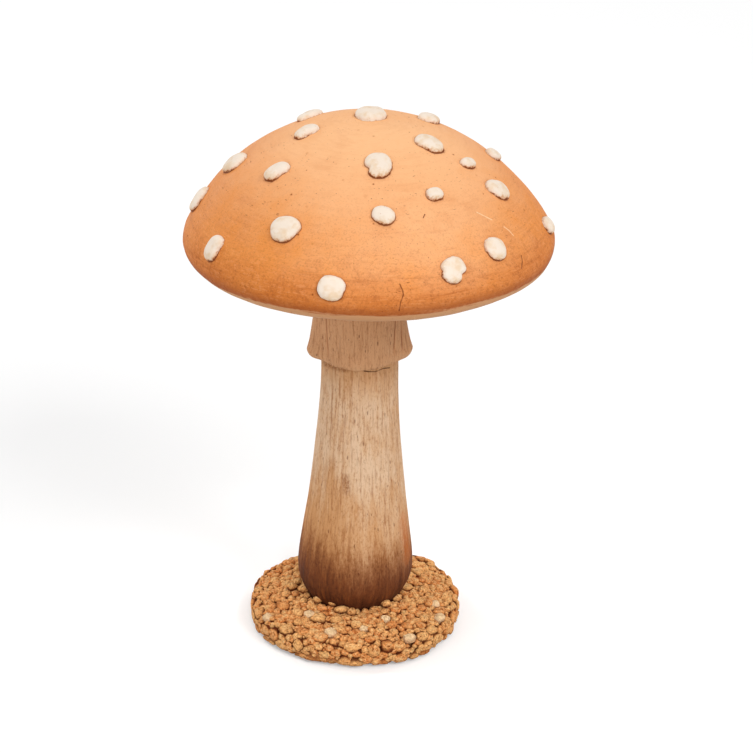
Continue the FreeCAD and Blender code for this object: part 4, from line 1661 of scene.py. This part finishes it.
@dataclass(frozen=True)
class Grit:
    """Crumbs of one stone, rough, with painted highlights on their tops, painted shade towards their feet and
    in their crevices, and darker towards the very bottom of the bed.
    """

    name: str
    light: Colour
    dull: Colour
    # The colour of the painted shade in the crevices and towards the crumbs' feet, also used to darken the
    # bottom of the bed.
    stain: Colour
    # How strong the painted highlights and the painted shade are.
    painted_light_share: float
    # The colour of the painted highlights on the crumbs' tops.
    tip: Colour = paint(255, 214, 153)
    rough: Cloud = Cloud(1.3 * MM, 5.0, 0.75)
    patches: Cloud = Cloud(5 * MM, 2.0)
    clot_pitch: float = 0.95 * MM
    rift_pitch: float = 1.7 * MM
    rift_warp: float = 2.4 * MM
    height_drag: float = 3 * MM
    # Heights over which the painted shade towards the crumbs' feet grows from partial to full.
    crevice_shade_levels: Pair = (2 * MM, 6 * MM)
    # Heights over which the crumbs darken towards the very bottom of the bed.
    foot_levels: Pair = (3.4 * MM, 1.4 * MM)
    relief_depth: float = 0.8 * MM

    def material(self) -> bpy.types.Material:
        """Makes the finish.

        Returns:
            The finished material.
        """
        recipe = Recipe(self.name)
        place = recipe.place()
        rough, patches = self.rough.over(place), self.patches.over(place)
        clots = (place.cells(self.clot_pitch) + rough.sway(0.8)).eased(0.95, 0.25)
        warp = {0: rough.also("Color"), 1: (self.rift_warp,) * 3, 2: place}
        warped = recipe.node("ShaderNodeVectorMath", {"operation": "MULTIPLY_ADD"}, warp)
        cracks = (warped.cells(self.rift_pitch, "DISTANCE_TO_EDGE") + patches.sway(0.25)).eased(0.08, 0.02)
        tone = 0.72 + recipe.marked("tone").sway(0.8) + rough.sway(2.4) + patches.sway(0.8)
        # How deep a point lies below its crumb's top sets the painted shade towards its foot.
        low = recipe.marked("down") + rough.sway(0.8)
        height = place.part("Z") + rough.sway(self.height_drag)
        # Painted highlights on the crumbs' tops, and painted shade towards their feet and in the crevices
        # between and within them.
        tip_highlights = low.eased(0.26, 0.02) * rough.eased(0.42, 0.6) * 0.75
        crevice_shade = low.eased(0.2, 0.54) * (0.4 + 0.58 * height.eased(*self.crevice_shade_levels))
        cranny_shade = rough.eased(0.47, 0.35) * 0.55 + cracks * rough.eased(0.54, 0.44) * 0.2
        cranny_shade = cranny_shade + clots.eased(0.4, 0.0) * 0.3
        colour = recipe.layered(
            self.dull,
            (tone.limited(), self.light),
            (tip_highlights * self.painted_light_share, self.tip),
            (crevice_shade * self.painted_light_share, self.stain),
            (cranny_shade * self.painted_light_share, self.stain),
            # Darker towards the very bottom of the bed's side.
            (height.eased(*self.foot_levels) * 0.4, self.stain),
        )
        relief = clots * 0.7 + rough * 1.2 - cracks * 0.2
        return recipe.dress(colour, 0.8 + rough * 0.15, relief, self.relief_depth, 0.08)


class Crumb(Enum):
    """What a crumb of the bed is."""

    COMMON = "common"
    LOOSE = "loose"
    PALE = "pale"


@dataclass
class Bed:
    """The mound of mortar and the crumbs pressed into it.

    The passes are pairs of a crumb size in millimetres and a number of tries. The side's swells are
    triples of azimuth, spread and height. Sizes of single crumbs are ranges in millimetres, and their
    squashes are shares.
    """

    viewpoint: Viewpoint
    steps: int = 240
    bore: float = 43.15 * MM
    radius: float = 46.35 * MM
    ground_gap: float = 1.8 * MM
    plate_top: float = 7.0 * MM
    edge_height: float = 9.6 * MM
    mound_height: float = 14.6 * MM
    mound_radius: float = 22.35 * MM
    foot_round: float = 2.3 * MM
    top_round: float = 3.2 * MM
    crumb_kinds: int = 10
    inner_gap: float = 0.3 * MM
    inner_wall: float = 2.2 * MM
    inner_ceiling: float = 13.6 * MM
    rough_bore: float = 43.55 * MM
    rough_start: float = 21.35 * MM
    press_ring: float = 25.35 * MM
    held_height: float = 8 * MM
    mound_bulges: tuple[Pair, ...] = ((0.385 * MM, 3.2 * MM), (0.21 * MM, 1.5 * MM))
    chip_sizes: Pair = (3.1, 3.9)
    loose_sizes: Pair = (2.9, 3.5)
    size_spread: Pair = (0.85, 1.15)
    squashes: tuple[Pair, ...] = ((0.95, 1.35), (0.85, 1.05), (0.7, 1.0))
    stand_out: Pair = (0.0, 0.26)
    side_band: float = 2.6 * MM
    side_wave: float = 0.5 * MM
    swell_start: Pair = (36 * MM, 45 * MM)
    passes: tuple[tuple[float, int], ...] = ((4.0, 170), (3.0, 1100), (2.3, 6000), (1.7, 9000))
    packing: float = 0.9
    pale_share: float = 0.012
    loose_lift: float = 2.5 * MM
    press_start: float = 1.4 * MM
    press_share: float = 0.25
    top_press_share: float = 0.75
    side_reach: float = 47.9 * MM
    side_swells: tuple[Triple, ...] = (
        (-56 * DEGREE, 26 * DEGREE, 1.7 * MM), (-108 * DEGREE, 13 * DEGREE, -0.5 * MM),
        (42 * DEGREE, 20 * DEGREE, 1.0 * MM), (142 * DEGREE, 20 * DEGREE, 1.2 * MM),
    )
    lowest: float = 1.7 * MM
    inner_limit: float = 34 * MM
    outer_limit: float = 43 * MM
    chip_pixels: tuple[Pixel, ...] = (
        (268, 618), (310, 617), (331, 635), (385, 620), (435, 606), (439, 619), (409, 640), (363, 630),
    )
    loose_pixels: tuple[Pixel, ...] = (
        (298, 582), (305, 589), (292, 588), (333, 603), (341, 610), (407, 589), (386, 604), (318, 600),
    )

    def build(self) -> None:
        """Makes and dresses the bed and its crumbs."""
        self._make_mound()
        self._make_crumbs()

    @property
    def slope(self) -> float:
        """How much the bed's top falls for each step out."""
        return (self.edge_height - self.mound_height) / (self.radius - self.mound_radius)

    def _edge(self) -> list[Pair]:
        """Gives the bed's outside, from the stem to the foot.

        Returns:
            Pairs of radius and height.
        """
        inner = self.mound_radius - self.inner_gap
        shoulder = self.radius - self.top_round
        foot = self.radius - self.foot_round
        points = [
            (inner + (shoulder - inner) * share,
             self.mound_height + (self.edge_height - self.mound_height) * share)
            for share in between(0.0, 1.0, 24)
        ]
        points += [
            (shoulder + self.top_round * math.sin(angle),
             self.edge_height - self.top_round * (1 - math.cos(angle)))
            for angle in between(0.0, RIGHT_ANGLE, 8)[1:]
        ]
        points += [
            (foot + self.foot_round * math.cos(angle),
             self.ground_gap + self.foot_round * (1 - math.sin(angle)))
            for angle in between(0.0, RIGHT_ANGLE, 7)
        ]
        return points

    def _make_mound(self) -> None:
        """Makes the mound."""
        outline = self._edge()
        inner = outline[0][0] - self.inner_wall
        outline += [(self.bore, self.ground_gap), (self.bore, self.plate_top), (inner, self.plate_top)]
        outline += [(inner, self.inner_ceiling), outline[0]]
        mound = Bench.turn("mortar_mound", outline, self.steps)

        def roughen(place: Vector) -> Vector:
            """Moves one vertex of the outside in or out.

            Args:
                place: The vertex, as it was turned.

            Returns:
                Its place on the mound.
            """
            radius = place.xy.length
            in_bore = radius < self.rough_bore and place.z < self.held_height
            if in_bore or radius < self.rough_start:
                return place.copy()
            out = Vector((place.x, place.y, radius)).normalized()
            return place + out * sum(depth * lumps(place, length) for depth, length in self.mound_bulges)

        Bench.shape(mound, roughen)
        Bench.hand_over(mound, Mortar().material(), Slot.MORTAR, ["grit_bed"])

    def _gap(self, place: Vector) -> float:
        """Gives how far a point is, at least, from the bed's top or side.

        Args:
            place: The point.

        Returns:
            The distance.
        """
        radius = place.xy.length
        above = place.z - (self.mound_height + self.slope * (radius - self.mound_radius))
        return max(above, radius - self.radius) * 0.8

    def _spots(self, chance: random.Random) -> Iterator[tuple[Vector, Vector, float, Crumb]]:
        """Gives the places of the crumbs, large ones first, with no two too near.

        Args:
            chance: The source of chance.

        Yields:
            A crumb's foot, the direction it stands in, its size and what it is.
        """
        taken: dict[tuple[int, int, int], list[tuple[Vector, float]]] = {}
        cell = self.passes[0][0] * MM

        def key(place: Vector) -> tuple[int, int, int]:
            """Gives the cell that a place is in."""
            return tuple(math.floor(c / cell) for c in place)

        def free(place: Vector, size: float) -> bool:
            """Tells whether a crumb fits, and takes its place if so.

            Args:
                place: The crumb's foot.
                size: Its size across.

            Returns:
                Whether it fits.
            """
            x, y, z = key(place)
            for i in range(27):
                near = (x + i % 3 - 1, y + i // 3 % 3 - 1, z + i // 9 - 1)
                for other, other_size in taken.get(near, ()):
                    if (place - other).length < (size + other_size) / 2 * self.packing:
                        return False
            taken.setdefault((x, y, z), []).append((place, size))
            return True

        for pixel in self.chip_pixels:
            place = self.viewpoint.land(pixel, self._gap)
            size = chance.uniform(*self.chip_sizes) * MM
            if free(place, size):
                yield place, (place.xy.normalized() * 0.25).to_3d() + UP, size, Crumb.PALE
        for pixel in self.loose_pixels:
            place = self.viewpoint.land(pixel, lambda point: self._gap(point - UP * self.loose_lift))
            size = chance.uniform(*self.loose_sizes) * MM
            if free(place, size):
                yield place, UP, size, Crumb.LOOSE
        edge = self._edge()
        runs = [(Vector(a), Vector(b)) for a, b in zip(edge, edge[1:])]
        weights = [(b - a).length * (a.x + b.x) for a, b in runs]
        for size, tries in self.passes:
            for start, end in chance.choices(runs, weights, k=tries):
                spot = start.lerp(end, chance.random())
                azimuth = chance.uniform(0, 2 * math.pi)
                ring = ring_way(azimuth)
                place = ring * spot.x + UP * spot.y
                own = size * chance.uniform(*self.size_spread) * MM
                run = (end - start).normalized()
                normal = ring * -run.y + UP * run.x
                if normal.dot(ring) < 0 and normal.z < 0:
                    normal = -normal
                if free(place, own):
                    pale = size == self.passes[0][0] and place.y > 0 and chance.random() < self.pale_share
                    yield place, normal, own, Crumb.PALE if pale else Crumb.COMMON

    def _prototypes(self) -> list[bpy.types.Object]:
        """Models the kinds of crumb, each a lumpy stone about 1 across.

        Returns:
            One stone of each kind.
        """
        kinds = []
        for number in range(self.crumb_kinds):
            Bench.clear()
            bpy.ops.mesh.primitive_cube_add(size=0.94)
            bpy.ops.object.mode_set(mode="EDIT")
            bpy.ops.mesh.select_all(action="SELECT")
            bpy.ops.mesh.subdivide(number_cuts=2, smoothness=0.65, fractal=1.4, seed=number + 3)
            bpy.ops.object.mode_set(mode="OBJECT")
            stone = bpy.context.object
            stone.name = "stone_%d" % number
            kinds.append(stone)
        return kinds

    def _make_crumbs(self) -> None:
        """Makes the crumbs, in the groups that the frame has."""
        chance = random.Random(29)
        kinds = self._prototypes()
        groups: dict[str, list[bpy.types.Object]] = {}
        for foot, normal, size, kind in self._spots(chance):
            group = self._group(foot, kind)
            crumb = Bench.copy(kinds[chance.randrange(len(kinds))], "crumb")
            self._set_down(crumb, foot, normal.normalized(), size, kind, chance)
            groups.setdefault(group, []).append(crumb)
        for stone in kinds:
            bpy.data.objects.remove(stone)
        # The third colour is the painted shade, and the last number is the strength of the painted highlights
        # and shade.
        orange = Grit("orange_grit", paint(255, 189, 118), paint(233, 131, 61), paint(104, 44, 16), 1.0)
        pale = Grit("pale_grit", paint(255, 218, 170), paint(250, 201, 150), paint(180, 102, 46), 0.5)
        finishes = {Slot.PALE: pale.material(), Slot.GRIT: orange.material()}
        for node, crumbs in sorted(groups.items()):
            piece = Bench.join(crumbs, node.replace("grit", "crumbs").replace("pale_chips", "chips_pale"))
            slot = Slot.PALE if node == "pale_chips" else Slot.GRIT
            Bench.hand_over(piece, finishes[slot], slot, [node])

    def _group(self, foot: Vector, kind: Crumb) -> str:
        """Names the frame's group that a crumb belongs to.

        Args:
            foot: Where the crumb stands.
            kind: What it is.

        Returns:
            The name of the frame's node.
        """
        if kind is Crumb.PALE:
            return "pale_chips"
        radius = foot.xy.length
        if radius < self.inner_limit:
            return "grit_inner"
        if radius < self.outer_limit:
            return "grit_outer"
        return "grit_rim" if foot.z > self.edge_height - self.side_band else "grit_side"

    def _pressed(self, place: Vector) -> Vector:
        """Presses a point of a crumb as the bed's mould does.

        Args:
            place: Where the point would be.

        Returns:
            Where it ends.
        """
        radius, azimuth = place.xy.length, math.atan2(place.y, place.x)
        ring = ring_way(azimuth)
        wave = noise.noise(ring * 2.2) + math.cos(azimuth - RIGHT_ANGLE / 2)
        swell = sum(s * math.exp(-(((azimuth - at) / spread) ** 2)) for at, spread, s in self.side_swells)
        side = self.side_reach + self.side_wave * wave + swell
        radius += swell * ease(radius, *self.swell_start)
        if radius > side:
            radius = side + (radius - side) * self.press_share
        top = self.mound_height + self.slope * (radius - self.mound_radius) + self.press_start
        height = place.z
        if height > top and radius > self.press_ring:
            height = top + (height - top) * self.top_press_share
        return ring * radius + UP * max(height, self.lowest)

    def _set_down(self, crumb: bpy.types.Object, foot: Vector, normal: Vector, size: float, kind: Crumb,
                  chance: random.Random) -> None:
        """Turns, sizes and places a crumb, and notes its tone and how deep each point lies.

        Args:
            crumb: A copy of a kind of crumb.
            foot: The place on the bed.
            normal: The direction that it stands in.
            size: Its size across.
            kind: What it is. Only a common crumb is pressed in.
            chance: The source of chance.
        """
        tumble = Euler([chance.uniform(0, 2 * math.pi) for _ in range(3)]).to_matrix()
        squash = Vector([chance.uniform(*limits) for limits in self.squashes])
        stand = normal.to_track_quat("Z", "Y").to_matrix()
        middle = foot + normal * size * chance.uniform(*self.stand_out)
        tone = chance.random() if kind is Crumb.COMMON else chance.uniform(0.7, 1.0)
        # How deep each point lies sets the painted shade towards the crumb's foot. A loose crumb gets less of
        # it.
        downs = []
        for vertex in crumb.data.vertices:
            point = Vector(a * b for a, b in zip(tumble @ vertex.co, squash))
            depth = min(max(0.62 - point.z, 0.0), 1.2)
            downs.append(depth * 0.6 if kind is Crumb.LOOSE else depth)
            spot = middle + stand @ point * size
            vertex.co = self._pressed(spot) if kind is Crumb.COMMON else spot
        Bench.mark(crumb, "down", downs)
        Bench.mark(crumb, "tone", [tone] * len(downs))


@dataclass(frozen=True)
class Felt:
    """Brown felt: matted fibres, with a rough, dull face."""

    dark: Colour = paint(62, 44, 32)
    light: Colour = paint(104, 80, 60)
    fibres: Cloud = Cloud(1.4 * MM, 5.0, 0.8, (1, 3, 1))
    crossed: Cloud = Cloud(1.4 * MM, 5.0, 0.8, (3, 1, 1))
    relief_depth: float = 0.5 * MM

    def material(self) -> bpy.types.Material:
        """Makes the finish.

        Returns:
            The finished material.
        """
        recipe = Recipe("brown_felt")
        place = recipe.place()
        mat = (self.fibres.over(place) + self.crossed.over(place)) * 0.5
        colour = recipe.blend(mat.eased(0.35, 0.65), self.dark, self.light)
        return recipe.dress(colour, 0.9 + mat * 0.1, mat, self.relief_depth, 0.1)


@dataclass(frozen=True)
class Wood:
    """Plain wood. The stretch is how much closer its grain is along each axis."""

    name: str
    light: Colour
    dark: Colour
    stretch: Triple
    grain_size: float = 18 * MM
    fine_size: float = 4 * MM
    relief_depth: float = 0.2 * MM

    def material(self) -> bpy.types.Material:
        """Makes the finish.

        Returns:
            The finished material.
        """
        recipe = Recipe(self.name)
        place = recipe.place()
        grain = Cloud(self.grain_size, 6.0, 0.65, self.stretch).over(place)
        fine = Cloud(self.fine_size, 4.0, 0.7, self.stretch).over(place)
        colour = recipe.blend((grain * 1.2 + fine * 0.4 - 0.3).limited(), self.dark, self.light)
        return recipe.dress(colour, 0.6 + fine * 0.25, fine, self.relief_depth, 0.3)


@dataclass(frozen=True)
class Steel:
    """Zinc plated steel, scuffed and a little dull."""

    name: str
    dark: Colour = paint(150, 150, 148)
    light: Colour = paint(205, 205, 200)
    scuffs: Cloud = Cloud(3 * MM, 4.0, 0.7, (1, 6, 1))
    relief_depth: float = 0.05 * MM

    def material(self) -> bpy.types.Material:
        """Makes the finish.

        Returns:
            The finished material.
        """
        recipe = Recipe(self.name)
        scuffs = self.scuffs.over(recipe.place())
        colour = recipe.blend(scuffs.eased(0.3, 0.7), self.dark, self.light)
        recipe.feed(recipe.shader, {"Metallic": 1.0})
        return recipe.dress(colour, 0.3 + scuffs * 0.3, scuffs, self.relief_depth)


@dataclass
class Fittings:
    """The plate, plug, felt and screw, which keep their own shapes."""

    felt: Felt = Felt()
    plate: Wood = Wood("plate_wood", paint(196, 158, 112), paint(150, 108, 68), (1, 8, 8))
    plug: Wood = Wood("plug_wood", paint(206, 170, 122), paint(164, 122, 80), (8, 8, 1))
    screw: Steel = Steel("screw_steel")
    washer: Steel = Steel("washer_steel")

    def build(self) -> None:
        """Dresses the pieces that hold the ornament together."""
        finishes = {
            "felt_pad": self.felt,
            "base_plate": self.plate,
            "foot_plug": self.plug,
            "base_screw": self.screw,
            "base_washer": self.washer,
        }
        for name, finish in finishes.items():
            material = finish.material()
            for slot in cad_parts[name].material_slots:
                slot.material = material
            log.info("%s keeps its shape, with %s", name, material.name)


@dataclass(frozen=True)
class Lamp:
    """A soft box aimed at the ornament, or a narrow lamp if it has a beam."""

    name: str
    place: Triple
    width: float
    level: float
    aim: Triple = (0.0, 0.0, 0.15)
    beam: float = 0.0

    def build(self) -> None:
        """Makes the lamp. A level of 1 lights a white card that faces it to full white."""
        Bench.clear()
        way = Vector(self.aim) - Vector(self.place)
        turn = way.to_track_quat("-Z", "Y").to_euler()
        bpy.ops.object.light_add(type="SPOT" if self.beam else "AREA", location=self.place, rotation=turn)
        lamp = bpy.context.object
        lamp.name = self.name
        lamp.data.energy = self.level * math.pi**2 * way.length_squared
        if self.beam:
            lamp.data.energy *= 4
            lamp.data.spot_size = self.beam
            lamp.data.spot_blend = 0.6
            lamp.data.shadow_soft_size = self.width / 2
        else:
            lamp.data.shape = "DISK"
            lamp.data.size = self.width
        log.info("lamp %s", self.name)


@dataclass(frozen=True)
class Studio:
    """A white table under soft light."""

    ambient: float = 0.62
    floor_half: float = 4.0
    floor_white: Colour = (0.74, 0.74, 0.74, 1.0)
    floor_glow: float = 0.30
    lamps: tuple[Lamp, ...] = (
        Lamp("key", (1.75, -1.95, 2.1), 1.3, 0.40),
        Lamp("fill", (-2.4, -2.2, 1.2), 1.6, 0.16),
        Lamp("back", (-2.2, 2.2, 1.2), 1.8, 0.16),
        Lamp("top", (-0.2, 0.6, 3.0), 2.0, 0.12),
        Lamp("bed_front", (0.2, -0.95, 0.9), 0.14, 0.20, (0, 0, 0.01), 8 * DEGREE),
        Lamp("bed_left", (-0.95, 0.35, 0.9), 0.14, 0.20, (0, 0, 0.01), 8 * DEGREE),
        Lamp("bed_right", (0.8, 0.6, 0.9), 0.14, 0.20, (0, 0, 0.01), 8 * DEGREE),
    )

    def build(self) -> None:
        """Makes the floor, the surrounding light and the lamps."""
        self._make_floor()
        self._make_world()
        for lamp in self.lamps:
            lamp.build()

    def _make_floor(self) -> None:
        """Makes the floor, which shows the camera white and keeps a soft shadow."""
        Bench.clear()
        bpy.ops.mesh.primitive_grid_add(x_subdivisions=8, y_subdivisions=8, size=2 * self.floor_half)
        floor = bpy.context.object
        floor.name = "table_floor"
        recipe = Recipe("white_table")
        plain = {"Base Color": self.floor_white, "Roughness": 0.9, "Specular IOR Level": 0.0}
        recipe.feed(recipe.shader, plain)
        seen = recipe.node("ShaderNodeLightPath", output="Is Camera Ray")
        glow = recipe.node("ShaderNodeEmission", {}, {"Color": WHITE, "Strength": self.floor_glow})
        none = recipe.node("ShaderNodeEmission", {}, {"Strength": 0.0})
        shown = recipe.node("ShaderNodeMixShader", {}, {0: seen, 1: none, 2: glow})
        both = recipe.node("ShaderNodeAddShader", {}, {0: Signal(recipe, recipe.shader.outputs[0]), 1: shown})
        recipe.feed(recipe.tree.nodes["Material Output"], {"Surface": both})
        floor.data.materials.append(recipe.made)

    def _make_world(self) -> None:
        """Makes the surroundings: plain white where they are seen, and soft light on the ornament."""
        recipe = Recipe("white_room", room=True)
        bpy.context.scene.world = recipe.made
        path = recipe.node("ShaderNodeLightPath", output="Is Camera Ray")
        seen = path
        for ray in ("Is Glossy Ray", "Is Transmission Ray"):
            seen = seen.most(path.also(ray))
        values = {"Value": seen, "To Min": self.ambient, "To Max": 1.0}
        strength = recipe.node("ShaderNodeMapRange", {}, values)
        recipe.feed(recipe.shader, {"Color": WHITE, "Strength": strength})


def main() -> None:
    """Builds the scene, piece by piece."""
    logging.basicConfig(level=logging.INFO, format="%(name)s: %(message)s")
    bpy.context.scene.view_settings.view_transform = "Standard"
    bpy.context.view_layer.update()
    viewpoint = Viewpoint()
    viewpoint.build()
    Studio().build()
    for assembly in (Cap(viewpoint), Stem(viewpoint), Bed(viewpoint), Fittings()):
        assembly.build()


if __name__ == "__main__":
    main()
